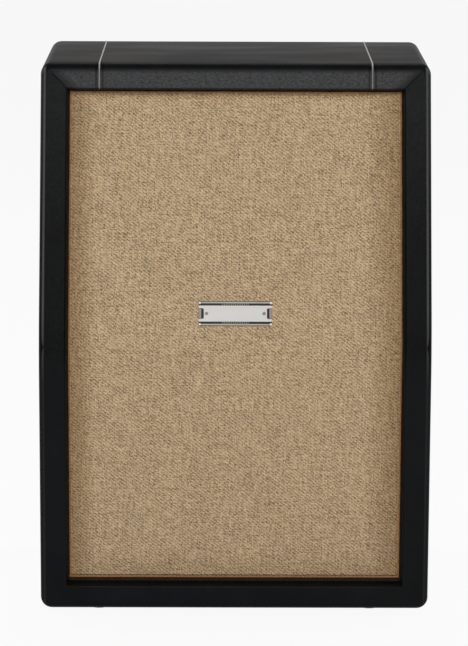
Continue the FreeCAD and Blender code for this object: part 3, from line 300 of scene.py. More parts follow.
cloth = bmesh.new()
sheet_edge = bmesh.ops.contextual_create(
    cloth, geom=[cloth.verts.new(on_front(x, cloth_depth, cloth_low)) for x in (-cloth_half, cloth_half)]
)["edges"]
for stop in (on_front(0, cloth_depth, -slack), on_front(0, cloth_depth, cloth_high)):
    grown = bmesh.ops.extrude_edge_only(cloth, edges=sheet_edge)["geom"]
    rise = stop - verts_of(grown)[0].co
    bmesh.ops.translate(cloth, verts=verts_of(grown), vec=(0, rise.y, rise.z))
    sheet_edge = [part for part in grown if isinstance(part, bmesh.types.BMEdge)]
fold_z = on_front(0, cloth_depth, -slack).z
ease(cloth, edges_at(cloth, fold_z), cloth_bend, 6)
bmesh.ops.recalc_face_normals(cloth, faces=cloth.faces)
if cloth.faces[0].normal.y > 0:
    bmesh.ops.reverse_faces(cloth, faces=cloth.faces)
weave = cloth.loops.layers.uv.new("cloth")
for face in cloth.faces:
    for corner in face.loops:
        place = corner.vert.co
        climb = (place.z - fold_z) / (math.cos(lean) if place.z > fold_z else 1.0)
        corner[weave].uv = (place.x, climb)
grille = make_piece("grille_cloth_sheet", cloth, twill, "grille_cloth")
cloth_body = grille.modifiers.new("cloth_thickness", "SOLIDIFY")
cloth_body.thickness = cloth_thick
cloth_body.offset = -1
grille.modifiers.new("even_shading", "WEIGHTED_NORMAL")

# Rolled edge: gold-brown twisted cord laid on the grille cloth just inside the opening. One length runs up each
# side, bending with the front, and one along the top and the bottom.
brown_cord = Finish("brown_cord", (0.2, 0.11, 0.05), 0.75, Specular_IOR_Level=0.2)
cord_brown, cord_gold = (0.17, 0.08, 0.036), (0.32, 0.17, 0.08)
cord_twist = brown_cord.noise(420, 3, (1, 1, 0.5))
cord_tone = brown_cord.mix(brown_cord.spread(cord_twist, 0.3, 0.7), cord_brown, cord_gold)
brown_cord.give(brown_cord.shader, {"Base Color": cord_tone})
brown_cord.bump(cord_twist, 0.0005)
cord_round = 0.0011
cord_x, cord_depth = open_half - cord_in, cloth_depth - cord_round
cord_low, cord_high = sill + cord_lift + cord_in, lintel + cord_hide - cord_in
cord_bend = -cord_depth * math.tan(lean / 2)


def bridge(mesh, rings):
    """Joins each ring of edges to the next one."""
    for first, second in zip(rings, rings[1:]):
        bmesh.ops.bridge_loops(mesh, edges=first + second)


def tube(mesh, path, side, radius, steps=12):
    """Runs a round section along a path that stays square to one direction, and closes its ends."""
    side, rings = Vector(side), []
    for number, point in enumerate(path):
        run = (path[min(number + 1, len(path) - 1)] - path[max(number - 1, 0)]).normalized()
        turned = Matrix((side, run.cross(side), run)).transposed().to_4x4()
        ring = bmesh.ops.create_circle(
            mesh, cap_ends=number in (0, len(path) - 1), segments=steps, radius=radius,
            matrix=Matrix.Translation(point) @ turned,
        )["verts"]
        rings.append(list({e for v in ring for e in v.link_edges}))
    bridge(mesh, rings)
    bmesh.ops.recalc_face_normals(mesh, faces=mesh.faces)


cord = bmesh.new()
for x in (-cord_x, cord_x):
    tube(cord, [on_front(x, cord_depth, climb) for climb in (cord_low, cord_bend, cord_high)], (1, 0, 0), cord_round)
for climb in (cord_low, cord_high):
    tube(cord, [on_front(x, cord_depth, climb) for x in (-cord_x, cord_x)], (0, 0, 1), cord_round)
make_piece("rolled_cord", cord, brown_cord, "grille_piping")

# Covering: black embossed leathercloth glued over the whole case. It turns over the front frame into the opening and
# over the back edges, is mitred at the opening's corners and is seamed at the two pipings. The top rail is painted
# lighter as the sheen it catches from above, the stiles are painted darker towards the bend as shade, the front's
# outer rounded edges carry a painted highlight line, and the tucks beside the seams carry painted shade. The sides,
# back and bottom keep more of their shine.
case_half, case_back, case_foot = 0.2575, 0.1719, 0.018
corner_round, rim_round, ledge_round, back_edge_round = 0.015, 0.009, 0.0025, 0.002
bend_round, wall_depth, cover_thick = 0.3, 0.0225, 0.0011
bend_run = bend_round * math.tan(lean / 2)
back_half, back_low, back_high, back_sink = 0.2382, 0.0373, 0.7167, 0.012
grip_y, grip_z, grip_half_y, grip_half_z = 0.0227, 0.438, 0.0966, 0.046
bead_x, seam_half, tuck_off = 0.18, 0.0006, 0.0043

front_shine, side_shine = 0.04, 0.22
clean_black, dusty_black, shade_black = (0.0038, 0.0042, 0.0046), (0.0056, 0.006, 0.0064), (0.0004, 0.0006, 0.0008)
sheen_dark, sheen_pale = (0.018, 0.0182, 0.0192), (0.05, 0.0505, 0.0525)
highlight_low, highlight_high = (0.015, 0.015, 0.016), (0.06, 0.06, 0.062)
mitre_and_tuck_black, top_brown = (0.001, 0.001, 0.001), (0.013, 0.0095, 0.007)
leathercloth = Finish("black_leathercloth", (0.006, 0.006, 0.0065), 0.4, Specular_IOR_Level=front_shine)
pebble = leathercloth.node(
    "TexVoronoi", {"Vector": leathercloth.place(), "Scale": 650, "Smoothness": 0.35}, feature="SMOOTH_F1"
)
crease = leathercloth.noise(240, 5)
dust = leathercloth.noise(26, 6)
speck = leathercloth.noise(480, 4, (0.6, 1, 1))
mottle = leathercloth.spread(leathercloth.noise(16, 5, (0.5, 1.6, 1)), 0.42, 0.66)

from_middle = leathercloth.math("ABSOLUTE", leathercloth.axis("X"))
behind = leathercloth.math("SUBTRACT", leathercloth.axis("Y"), case_front)
raised = leathercloth.math("SUBTRACT", leathercloth.axis("Z"), case_break)
climbed = leathercloth.total((behind, math.sin(lean)), (raised, math.cos(lean)))
sunk = leathercloth.total((behind, math.cos(lean)), (raised, -math.sin(lean)))
sunk = leathercloth.math("MINIMUM", behind, sunk)
in_front = leathercloth.fade(sunk, 0.01, 0.014)
on_lean = leathercloth.spread(climbed, 0.0, 0.01)
on_top = leathercloth.spread(raised, 0.3605, 0.3614)
beside = leathercloth.math("SUBTRACT", from_middle, open_half)
past = leathercloth.math(
    "MAXIMUM", leathercloth.math("SUBTRACT", climbed, lintel), leathercloth.math("SUBTRACT", sill, raised)
)

mitre = leathercloth.times(
    leathercloth.line(beside, past, 0.0, 0.0009), leathercloth.spread(beside, 0.0, 0.001),
    leathercloth.fade(beside, 0.018, 0.022), on_lean,
)
from_seam = leathercloth.math("ABSOLUTE", leathercloth.math("SUBTRACT", from_middle, bead_x))
# The mitre lines are the covering's dark folded joints. The tuck lines beside the piping seams are painted shade
# where the covering dips into the seam.
tuck_shade = leathercloth.times(leathercloth.line(from_seam, tuck_off, 0.0003, 0.0015), on_lean)
mitre_and_tuck_shade = leathercloth.times(leathercloth.math("MAXIMUM", mitre, tuck_shade), in_front)
# Painted sheen: the top rail's front is painted lighter, standing in for the light it catches from above.
top_rail = leathercloth.times(
    leathercloth.spread(leathercloth.math("SUBTRACT", past, beside), 0.0, 0.02),
    leathercloth.spread(climbed, lintel, lintel + 0.001), leathercloth.fade(climbed, 0.3615, 0.367), in_front,
)
shaded = leathercloth.times(
    leathercloth.fade(climbed, 0.14, 0.32), leathercloth.spread(climbed, -0.04, 0.0), in_front
)
# Painted highlight: a lighter line along the front's outer rounded edges, brighter higher up.
edge_highlight = leathercloth.times(
    leathercloth.line(from_middle, case_half - 0.0056, 0.0004, 0.0023), leathercloth.fade(sunk, 0.003, 0.004)
)
black = leathercloth.mix(leathercloth.spread(dust, 0.35, 0.75), clean_black, dusty_black)
for share, tone in (
    (top_rail, leathercloth.mix(leathercloth.spread(speck, 0.3, 0.7), sheen_dark, sheen_pale)),
    (shaded, shade_black),
    (edge_highlight, leathercloth.mix(leathercloth.spread(climbed, -0.05, 0.05), highlight_low, highlight_high)),
    (leathercloth.times(mitre_and_tuck_shade, 0.6), mitre_and_tuck_black),
    (leathercloth.times(mottle, on_top), top_brown),
):
    black = leathercloth.mix(share, black, tone)
grainy = leathercloth.spread(leathercloth.math("ADD", crease, speck), 0.7, 1.3, 0.34, 0.52)
matt = leathercloth.total((leathercloth.spread(behind, 0.1, 0.345, 0.6, 0.42), 1.0), (mottle, -0.06))
leathercloth.give(
    leathercloth.shader, {"Base Color": black, "Roughness": leathercloth.between(on_top, grainy, matt)}
)
leathercloth.bump(leathercloth.total((pebble, 0.7), (crease, 0.5), (mitre_and_tuck_shade, -2.5)), 0.0003, 0.5)
side_leathercloth = leathercloth.material.copy()
side_leathercloth.name = "side_leathercloth"
side_leathercloth.node_tree.nodes["Principled BSDF"].inputs["Specular IOR Level"].default_value = side_shine


def faces_towards(mesh, way, least=0.7):
    """The faces that look about one way."""
    return [f for f in mesh.faces if f.normal.dot(Vector(way)) > least]


def middle(face):
    """The middle of a face's corners."""
    return face.calc_center_median()


def cut(mesh, faces, point, way):
    """Cuts faces along a plane."""
    geometry = set(faces)
    for face in faces:
        geometry.update(face.edges, face.verts)
    bmesh.ops.bisect_plane(mesh, geom=list(geometry), dist=1e-7, plane_co=point, plane_no=way)


def open_up(mesh, faces):
    """Takes faces out and returns the edges round the hole."""
    rims = {e for f in faces for e in f.edges}
    bmesh.ops.delete(mesh, geom=faces, context="FACES")
    return [e for e in rims if e.is_valid and len(e.link_faces) == 1]


shell = bmesh.new()
profile = [
    (case_front, case_foot), (case_front, case_break), (case_front + set_back, case_top),
    (case_back, case_top), (case_back, case_foot),
]
side = shell.faces.new([shell.verts.new((-case_half, y, z)) for y, z in profile])
grown = bmesh.ops.extrude_face_region(shell, geom=[side])["geom"]
bmesh.ops.translate(shell, verts=verts_of(grown), vec=(2 * case_half, 0, 0))
bmesh.ops.recalc_face_normals(shell, faces=shell.faces)
ease(shell, edges_at(shell, case_break), bend_run, 10)
long_edges = [
    e for e in shell.edges
    if abs((e.verts[0].co - e.verts[1].co).normalized().y) > 0.99 and e.calc_length() > 0.1
]
ease(shell, long_edges, corner_round, 8)
for way in ((0, -1, 0), (0, 1, 0)):
    flats = set(faces_towards(shell, way))
    ease(shell, [e for e in shell.edges if sum(f in flats for f in e.link_faces) == 1], rim_round, 6)

up_lean = Vector((0, math.sin(lean), math.cos(lean)))
for point, way in (
    ((open_half, 0, 0), (1, 0, 0)), ((-open_half, 0, 0), (1, 0, 0)),
    (on_front(0, 0, sill), (0, 0, 1)), (on_front(0, 0, lintel), up_lean),
):
    cut(shell, faces_towards(shell, (0, -1, 0), 0.95), point, way)
ledge = open_up(shell, [
    f for f in faces_towards(shell, (0, -1, 0), 0.95)
    if abs(middle(f).x) < open_half and middle(f).z > case_break + sill
    and (middle(f) - on_front(0, 0, lintel)).dot(up_lean) < 0
])
grown = bmesh.ops.extrude_edge_only(shell, edges=ledge)["geom"]
bend_middle = Vector((0, case_front + bend_round, case_break - bend_run))
for vert in verts_of(grown):
    inward = Vector((0, 1, 0))
    if vert.co.z > case_break + bend_run * math.cos(lean):
        inward = Vector((0, math.cos(lean), -math.sin(lean)))
    elif vert.co.z > case_break - bend_run:
        inward = (bend_middle - Vector((0, vert.co.y, vert.co.z))).normalized()
    vert.co += inward * wall_depth
bmesh.ops.recalc_face_normals(shell, faces=shell.faces)
ease(shell, [e for e in ledge if e.is_valid], ledge_round, 4)

for point, way in (
    ((back_half, 0, 0), (1, 0, 0)), ((-back_half, 0, 0), (1, 0, 0)),
    ((0, 0, back_low), (0, 0, 1)), ((0, 0, back_high), (0, 0, 1)),
):
    cut(shell, faces_towards(shell, (0, 1, 0), 0.99), point, way)
back_rim = open_up(shell, [
    f for f in faces_towards(shell, (0, 1, 0), 0.99)
    if abs(middle(f).x) < back_half and back_low < middle(f).z < back_high and middle(f).y > case_back - 0.001
])
grown = bmesh.ops.extrude_edge_only(shell, edges=back_rim)["geom"]
bmesh.ops.translate(shell, verts=verts_of(grown), vec=(0, -back_sink, 0))
bmesh.ops.recalc_face_normals(shell, faces=shell.faces)
ease(shell, [e for e in back_rim if e.is_valid], back_edge_round, 3)


def side_faces(outward):
    """The flat of one side of the shell."""
    return [f for f in faces_towards(shell, outward, 0.99) if abs(middle(f).x) > case_half - 1e-5]


for outward in ((1, 0, 0), (-1, 0, 0)):
    for point, way in (
        ((0, grip_y - grip_half_y, 0), (0, 1, 0)), ((0, grip_y + grip_half_y, 0), (0, 1, 0)),
        ((0, 0, grip_z - grip_half_z), (0, 0, 1)), ((0, 0, grip_z + grip_half_z), (0, 0, 1)),
    ):
        cut(shell, side_faces(outward), point, way)
    open_up(shell, [
        f for f in side_faces(outward)
        if abs(middle(f).y - grip_y) < grip_half_y and abs(middle(f).z - grip_z) < grip_half_z
    ])

for x in (-bead_x - seam_half, -bead_x + seam_half, bead_x - seam_half, bead_x + seam_half):
    cut(shell, shell.faces[:], (x, 0, 0), (1, 0, 0))
strip = shell.copy()
bmesh.ops.delete(shell, geom=[
    f for f in shell.faces if abs(middle(f).x) < bead_x + seam_half and middle(f).z > case_break
], context="FACES")
bmesh.ops.delete(strip, geom=[
    f for f in strip.faces if abs(middle(f).x) > bead_x - seam_half or middle(f).z < case_break
], context="FACES")
for name, mesh, node in (("wrap_cloth", shell, "wrap_covering"), ("top_cloth", strip, "top_covering")):
    covering = make_piece(name, mesh, leathercloth, node)
    covering.data.materials.append(side_leathercloth)
    for face in covering.data.polygons:
        on_side = abs(face.normal.x) > 0.99 and abs(face.center.x) > case_half - 0.001
        on_back = face.normal.y > 0.5 and face.center.y > case_back - 0.01
        if on_side or on_back or face.center.z < case_foot + 0.001:
            face.material_index = 1
    skin = covering.modifiers.new("cloth_thickness", "SOLIDIFY")
    skin.thickness = cover_thick
    skin.offset = -1
    covering.modifiers.new("even_shading", "WEIGHTED_NORMAL").keep_sharp = True

# Pipings: pale plastic beads sewn into the seams of the covering, over the top from the front opening to the back
# edge. Only the round bead stands out of the seam, and it is painted darker as shade where it leaves the top.
pale_bead = Finish("pale_bead", (0.32, 0.3, 0.27), 0.5)
bead_pale, bead_brown = (0.36, 0.345, 0.32), (0.22, 0.19, 0.15)
shaded_pale, shaded_brown = (0.175, 0.16, 0.145), (0.1, 0.085, 0.065)
bead_stain = pale_bead.spread(pale_bead.noise(120, 4), 0.35, 0.75)
bead_tone = pale_bead.mix(bead_stain, bead_pale, bead_brown)
bead_shaded = pale_bead.mix(bead_stain, shaded_pale, shaded_brown)
# Painted shade: the bead is darker off the top, on the front and the back.
off_top = pale_bead.fade(pale_bead.axis("Z"), case_top - rim_round, case_top - 0.001)
pale_bead.give(pale_bead.shader, {"Base Color": pale_bead.mix(off_top, bead_tone, bead_shaded)})
bead_round, bead_start = 0.0009, 0.001
front_length = (case_top - case_break) / math.cos(lean)


def round_corner(corner, start, end, steps=6):
    """Places round a corner, from start to end."""
    angles = [math.pi / 2 * number / steps for number in range(steps + 1)]
    return [corner + (start - corner) * (1 - math.sin(a)) + (end - corner) * (1 - math.cos(a)) for a in angles]


for side_name, x in (("left", -bead_x), ("right", bead_x)):
    top_front = on_front(x, 0, front_length)
    top_back = Vector((x, case_back, case_top))
    backward, downward = Vector((0, rim_round, 0)), Vector((0, 0, -rim_round))
    path = [on_front(x, 0, lintel + bead_start)]
    path += round_corner(top_front, on_front(x, 0, front_length - rim_round), top_front + backward)
    path += round_corner(top_back, top_back - backward, top_back + downward)
    path += [Vector((x, case_back, back_high + bead_start))]
    bead = bmesh.new()
    tube(bead, path, (1, 0, 0), bead_round)
    make_piece(f"{side_name}_bead", bead, pale_bead, f"{side_name}_piping")

# Badge: a bare cast plate on a black enamelled back, whose edge stands past the rails as a thin dark lip: a painted
# shadow on the cloth. A fluted rail with a cream bead at each end runs along its top and its bottom, and a black bar
# and a small tab close each end; the bar stands for the plate's dark end edge with its painted shadow. Two small
# screws pin it through the cloth to the upper board.
badge_climb, badge_half, badge_tall, badge_thick = 0.04644, 0.04837, 0.01565, 0.0016
badge_place = Matrix.Translation(on_front(0, cloth_depth, badge_climb)) @ Matrix.Rotation(-lean, 4, "X")
shadow_lip, plate_round, plate_front = 0.0007, 0.002, -badge_thick * 0.6
plate_tall = badge_tall + shadow_lip
bar_in, bar_out, bar_tall, bar_lift, bar_round = 0.0416, 0.0436, 0.0066, 0.0003, 0.0002
panel_tall, panel_foot, notch_tall = 0.0105, 0.0004, 0.0072
tab_gap, tab_edge, tab_front, tab_back = 0.0012, 0.0003, -badge_thick * 0.75, -badge_thick * 0.5
tab_in, tab_out = bar_out + tab_gap, badge_half - tab_edge
rail_round, knob_round, pin_x = 0.0011, 0.0016, 0.03787
rail_z, rail_reach = badge_tall - rail_round, badge_half - knob_round
flute_pitch, flute_half, flute_count, flute_front = 0.0024, 0.0004, 15, -badge_thick * 0.85

cast_silver = Finish("cast_silver", (0.43, 0.42, 0.405), 0.5, Metallic=0.1)
brush = cast_silver.noise(300, 3, (0.03, 1, 1))
cast_silver.give(cast_silver.shader, {"Roughness": cast_silver.spread(brush, 0.3, 0.7, 0.42, 0.58)})
cast_silver.bump(brush, 0.00004)
black_enamel = Finish("black_enamel", (0.03, 0.024, 0.019), 0.5, Specular_IOR_Level=0.08)
black_enamel.bump(black_enamel.noise(600), 0.00005)
aged_nickel = Finish("aged_nickel", (0.19, 0.16, 0.135), 0.5)
aged_nickel.bump(aged_nickel.noise(700, 2), 0.00003)
bright_trim = Finish("bright_trim", (0.36, 0.345, 0.32), 0.45)
bright_trim.bump(bright_trim.noise(900, 2), 0.00001)
cream_bead = Finish("cream_bead", (0.8, 0.77, 0.7), 0.3)
cream_bead.bump(cream_bead.noise(900, 2), 0.00001)


def block(mesh, corner, opposite):
    """Adds a box between two opposite corners."""
    low, high = Vector([*map(min, corner, opposite)]), Vector([*map(max, corner, opposite)])
    size = Matrix.Diagonal((*(high - low), 1))
    return bmesh.ops.create_cube(mesh, size=1, matrix=Matrix.Translation((low + high) / 2) @ size)["verts"]


def edges_along(verts, axis):
    """Edges between these verts that run along one axis."""
    edges = {e for v in verts for e in v.link_edges}
    return [e for e in edges if abs((e.verts[0].co - e.verts[1].co).normalized()[axis]) > 0.99]


def turn(mesh, outline, place, steps=32):
    """Turns an outline of (along, radius) pairs about the axis along, and puts it in place."""
    verts = [mesh.verts.new((radius, 0, along)) for along, radius in outline]
    edges = [mesh.edges.new(pair) for pair in zip(verts, verts[1:])]
    before = set(mesh.verts) - set(verts)
    bmesh.ops.spin(
        mesh, geom=verts + edges, cent=(0, 0, 0), axis=(0, 0, 1), dvec=(0, 0, 0), angle=2 * math.pi, steps=steps,
        use_merge=True,
    )
    bmesh.ops.remove_doubles(mesh, verts=[v for v in mesh.verts if v not in before], dist=1e-7)
    made = [v for v in mesh.verts if v not in before]
    bmesh.ops.transform(mesh, matrix=place, verts=made)
    bmesh.ops.recalc_face_normals(mesh, faces=list({f for v in made for f in v.link_faces}))


def make_badge_piece(name, mesh, finish):
    """Sets a mesh against the leaning cloth as a piece of the badge."""
    bmesh.ops.transform(mesh, matrix=badge_place, verts=mesh.verts)
    make_piece(name, mesh, finish, "badge_plate")


enamel, silver, tabs, trim, knobs = [bmesh.new() for _ in range(5)]
back_plate = block(enamel, (-badge_half, plate_front, -plate_tall), (badge_half, 0, plate_tall))
ease(enamel, edges_along(back_plate, 1), plate_round, 5)
block(silver, (-bar_out, -badge_thick, -notch_tall), (bar_out, -panel_foot, notch_tall))
for sign in (1, -1):
    block(silver, (-badge_half, -badge_thick, sign * notch_tall), (badge_half, -panel_foot, sign * panel_tall))
for sign in (-1, 1):
    # Each black bar stands for the dark end edge of the plate together with a painted shadow it casts on the cloth.
    bar = block(
        enamel, (sign * bar_in, -badge_thick - bar_lift, -bar_tall), (sign * bar_out, -badge_thick, bar_tall)
    )
    ease(enamel, edges_along(bar, 2), bar_round, 2)
    block(tabs, (sign * tab_in, tab_front, -bar_tall), (sign * tab_out, tab_back, bar_tall))
    for number in range(flute_count):
        x = (number - (flute_count - 1) / 2) * flute_pitch
        block(tabs, (x - flute_half, flute_front, sign * panel_tall), (x + flute_half, tab_back, sign * rail_z))
    along_x = Matrix.Translation((0, plate_front, sign * rail_z)) @ Matrix.Rotation(math.pi / 2, 4, "Y")
    turn(trim, [(-rail_reach, 0), (-rail_reach, rail_round), (rail_reach, rail_round), (rail_reach, 0)], along_x, 16)
    for end in (-1, 1):
        knob_place = Matrix.Translation((end * rail_reach, plate_front, sign * (badge_tall - knob_round)))
        bmesh.ops.create_uvsphere(knobs, u_segments=16, v_segments=10, radius=knob_round, matrix=knob_place)
make_badge_piece("badge_enamel", enamel, black_enamel)
make_badge_piece("badge_casting", silver, cast_silver)
make_badge_piece("badge_tabs", tabs, aged_nickel)
make_badge_piece("badge_trim", trim, bright_trim)
make_badge_piece("badge_knobs", knobs, cream_bead)


def cross_head(radius, height):
    """One pan head with a cross recess, standing on the ground plane."""
    head = bmesh.new()
    bmesh.ops.create_circle(head, cap_ends=True, segments=24, radius=radius)
    grown = bmesh.ops.extrude_face_region(head, geom=head.faces[:])["geom"]
    bmesh.ops.translate(head, verts=verts_of(grown), vec=(0, 0, height))
    bmesh.ops.recalc_face_normals(head, faces=head.faces)
    ease(head, [e for e in head.edges if all(v.co.z > height / 2 for v in e.verts)], height * 0.6, 5)
    arm, slit, recess = radius * 0.52, radius * 0.13, height * 0.55
    for reach in (-arm, -slit, slit, arm):
        for way in ((1, 0, 0), (0, 1, 0)):
            cut(head, faces_towards(head, (0, 0, 1), 0.999), Vector(way) * reach, way)
    cross = []
    for face in faces_towards(head, (0, 0, 1), 0.999):
        near, far = sorted((abs(middle(face).x), abs(middle(face).y)))
        if near < slit and far < arm:
            cross.append(face)
    grown = bmesh.ops.extrude_face_region(head, geom=cross)["geom"]
    sunken = verts_of(grown)
    bmesh.ops.delete(head, geom=[f for f in cross if f.is_valid], context="FACES")
    bmesh.ops.translate(head, verts=sunken, vec=(0, 0, -recess))
    return head


def set_heads(name, finish, node, radius, height, places):
    """Sets one screw's head in every place, as one piece."""
    master = bpy.data.meshes.new(name)
    head = cross_head(radius, height)
    head.to_mesh(master)
    head.free()
    heads = bmesh.new()
    for place in places:
        before = len(heads.verts)
        heads.from_mesh(master)
        heads.verts.ensure_lookup_table()
        bmesh.ops.transform(heads, matrix=place, verts=heads.verts[before:])
    make_piece(name, heads, finish, node)


to_front = Matrix.Rotation(math.pi / 2, 4, "X")
to_back = Matrix.Rotation(-math.pi / 2, 4, "X")
set_heads("badge_pins", aged_nickel, "badge_screws", radius=0.0022, height=0.0011, places=[
    badge_place @ Matrix.Translation((x, -badge_thick, 0)) @ to_front for x in (-pin_x, pin_x)
])

# Handles: a pressed steel dish, painted black, let into each side and lapping over the covering. A plated
# bar with a ribbed rubber sleeve crosses it, and four screws hold it.
dish_wide, dish_tall, dish_rim_y, dish_rim_z, dish_steel = 0.2052, 0.104, 0.016, 0.014, 0.0015
flange_lift, screw_in, rod_sink = 0.0006, 0.008, 0.014
rod_end, rod_round, sleeve_end, rib_count = 0.0849, 0.006, 0.0749, 24
rib_groove, rib_shoulder, rib_crest = 0.0072, 0.0078, 0.008
ribbed_rubber = Finish("ribbed_rubber", (0.014, 0.014, 0.014), 0.6)
ribbed_rubber.bump(ribbed_rubber.noise(1200), 0.0001)


def round_corners(wide, tall, radius, steps=6):
    """Points round a rectangle with round corners."""
    points = []
    for quarter, (y, z) in enumerate(((1, 1), (-1, 1), (-1, -1), (1, -1))):
        for number in range(steps + 1):
            angle = (quarter + number / steps) * math.pi / 2
            points.append((
                y * (wide / 2 - radius) + radius * math.cos(angle), z * (tall / 2 - radius) + radius * math.sin(angle)
            ))
    return points


def draw_ring(mesh, x, points):
    """Draws a closed ring of edges at one x."""
    verts = [mesh.verts.new((x, y, z)) for y, z in points]
    return [mesh.edges.new((verts[i - 1], verts[i])) for i in range(len(verts))]


cup_wide, cup_tall = dish_wide - 2 * (dish_rim_y + dish_steel), dish_tall - 2 * (dish_rim_z + dish_steel)
dish_rings = [
    (0.0, dish_wide, dish_tall, 0.01), (flange_lift * 0.5, dish_wide, dish_tall, 0.01),
    (flange_lift, dish_wide - 0.001, dish_tall - 0.001, 0.0095),
    (flange_lift, cup_wide + 0.007, cup_tall + 0.007, 0.0115), (-0.0008, cup_wide + 0.002, cup_tall + 0.002, 0.009),
    (-0.0035, cup_wide, cup_tall, 0.008), (-0.039, cup_wide - 0.005, cup_tall - 0.005, 0.008),
    (-0.0445, cup_wide - 0.012, cup_tall - 0.012, 0.008), (-0.0465, cup_wide - 0.026, cup_tall - 0.026, 0.006),
]
rib_pitch = 2 * sleeve_end / rib_count
rib_outline = ((0.0, rib_groove), (0.12, rib_shoulder), (0.3, rib_crest), (0.7, rib_crest), (0.88, rib_shoulder))
sleeve_outline = [(-sleeve_end, rod_round)]
for number in range(rib_count):
    start = -sleeve_end + number * rib_pitch
    sleeve_outline += [(start + rib_pitch * share, radius) for share, radius in rib_outline]
sleeve_outline += [(sleeve_end, rib_groove), (sleeve_end, rod_round)]
for side_name, sign in (("left", -1), ("right", 1)):
    to_side = Matrix.Translation((sign * case_half, grip_y, grip_z)) @ Matrix.Diagonal((sign, 1, 1, 1))
    dish = bmesh.new()
    rings = [draw_ring(dish, x, round_corners(wide, tall, radius)) for x, wide, tall, radius in dish_rings]
    bridge(dish, rings)
    bmesh.ops.edgeloop_fill(dish, edges=rings[-1])
    bmesh.ops.transform(dish, matrix=to_side, verts=dish.verts)
    bmesh.ops.recalc_face_normals(dish, faces=dish.faces)
    if max(dish.faces, key=lambda f: f.calc_area()).normal.x * sign < 0:
        bmesh.ops.reverse_faces(dish, faces=dish.faces)
    made = make_piece(f"{side_name}_dish", dish, black_paint, f"{side_name}_handle_dish")
    made.modifiers.new("even_shading", "WEIGHTED_NORMAL")
    along_y = to_side @ Matrix.Translation((-rod_sink, 0, 0)) @ Matrix.Rotation(-math.pi / 2, 4, "X")
    rod = bmesh.new()
    turn(rod, [(-rod_end, 0), (-rod_end, rod_round), (rod_end, rod_round), (rod_end, 0)], along_y, 24)
    make_piece(f"{side_name}_rod", rod, zinc_plate, f"{side_name}_handle_bar")
    sleeve = bmesh.new()
    turn(sleeve, sleeve_outline, along_y, 24)
    make_piece(f"{side_name}_sleeve", sleeve, ribbed_rubber, f"{side_name}_handle_bar")
screw_y, screw_z = dish_wide / 2 - screw_in, dish_tall / 2 - screw_in
set_heads("handle_heads", zinc_plate, "handle_screws", radius=0.004, height=0.0017, places=[
    Matrix.Translation((sign * (case_half + flange_lift), grip_y + y, grip_z + z))
    @ Matrix.Rotation(sign * math.pi / 2, 4, "Y")
    for sign in (-1, 1) for y in (-screw_y, screw_y) for z in (-screw_z, screw_z)
])

# Back: a board covered in the same leathercloth, let into the case and screwed to its cleats, with a black
# steel plate for the jack low on it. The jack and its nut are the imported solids.
back_face, back_board_half, back_board_low, back_board_high = 0.1659, 0.2378, 0.0377, 0.7163
back_cover_deep, back_cover_round = 0.004, 0.0011
back_cover = bmesh.new()
block(
    back_cover, (-back_board_half, back_face - back_cover_deep, back_board_low),
    (back_board_half, back_face, back_board_high),
)
face_edges = [e for e in back_cover.edges if all(v.co.y > back_face - 1e-6 for v in e.verts)]
ease(back_cover, face_edges, back_cover_round, 3)
made = make_piece("back_cloth", back_cover, leathercloth, "back_covering")
made.data.materials[0] = side_leathercloth

jack_z, jack_plate_wide, jack_plate_thick, jack_plate_round = 0.1098, 0.076, 0.0015, 0.006
jack_plate_edge, jack_hole_round, jack_screw_off = 0.0006, 0.0052, 0.03
plate_outline = round_corners(jack_plate_wide, jack_plate_wide, jack_plate_round)
face_wide = jack_plate_wide - 2 * jack_plate_edge
face_outline = round_corners(face_wide, face_wide, jack_plate_round - jack_plate_edge)
hole = [Vector(point).normalized() * jack_hole_round for point in plate_outline]
plate = bmesh.new()
bridge(plate, [draw_ring(plate, rise, points) for rise, points in (
    (0, plate_outline), (jack_plate_thick * 0.6, plate_outline), (jack_plate_thick, face_outline),
    (jack_plate_thick, hole), (0, hole),
)])
plate_place = Matrix.Translation((0, back_face, jack_z)) @ Matrix.Rotation(math.pi / 2, 4, "Z")
bmesh.ops.transform(plate, matrix=plate_place, verts=plate.verts)
bmesh.ops.recalc_face_normals(plate, faces=plate.faces)
made = make_piece("jack_steel_plate", plate, black_paint, "jack_plate")
made.modifiers.new("even_shading", "WEIGHTED_NORMAL")
dress(zinc_plate, "input_jack", "jack_nut")
screw_columns = ((0.2283, (0.0472, 0.377, 0.7068)), (0.0761, (0.0472, 0.7068)))
set_heads("back_heads", zinc_plate, "back_screws", radius=0.004, height=0.0024, places=[
    Matrix.Translation((x, back_face, z)) @ to_back
    for column, heights in screw_columns for z in heights for x in (-column, column)
])
set_heads("jack_plate_heads", zinc_plate, "jack_plate_screws", radius=0.004, height=0.0024, places=[
    Matrix.Translation((x, back_face + jack_plate_thick, jack_z + z)) @ to_back
    for x in (-jack_screw_off, jack_screw_off) for z in (-jack_screw_off, jack_screw_off)
])

# Feet: four black rubber feet, moulded with a slight taper and a well underneath. A screw up through the well
# holds each one to the bottom of the case.
foot_x, foot_front, foot_rear = 0.1825, -0.0981, 0.0969
foot_rubber = Finish("foot_rubber", (0.012, 0.012, 0.012), 0.7)
foot_rubber.bump(foot_rubber.noise(900), 0.0002)
foot_outline = [
    (0.009, 0.0), (0.009, 0.006), (0.0012, 0.006), (0.0003, 0.0064), (0.0, 0.0072), (0.0, 0.0155), (0.0004, 0.0163),
    (0.0014, 0.017), (0.0165, 0.019), (0.0176, 0.0188), (0.018, 0.0182),
]
feet = bmesh.new()
for x in (-foot_x, foot_x):
    for y in (foot_front, foot_rear):
        turn(feet, foot_outline, Matrix.Translation((x, y, 0)))
make_piece("turned_feet", feet, foot_rubber, "rubber_feet")
dress(zinc_plate, "foot_screws")

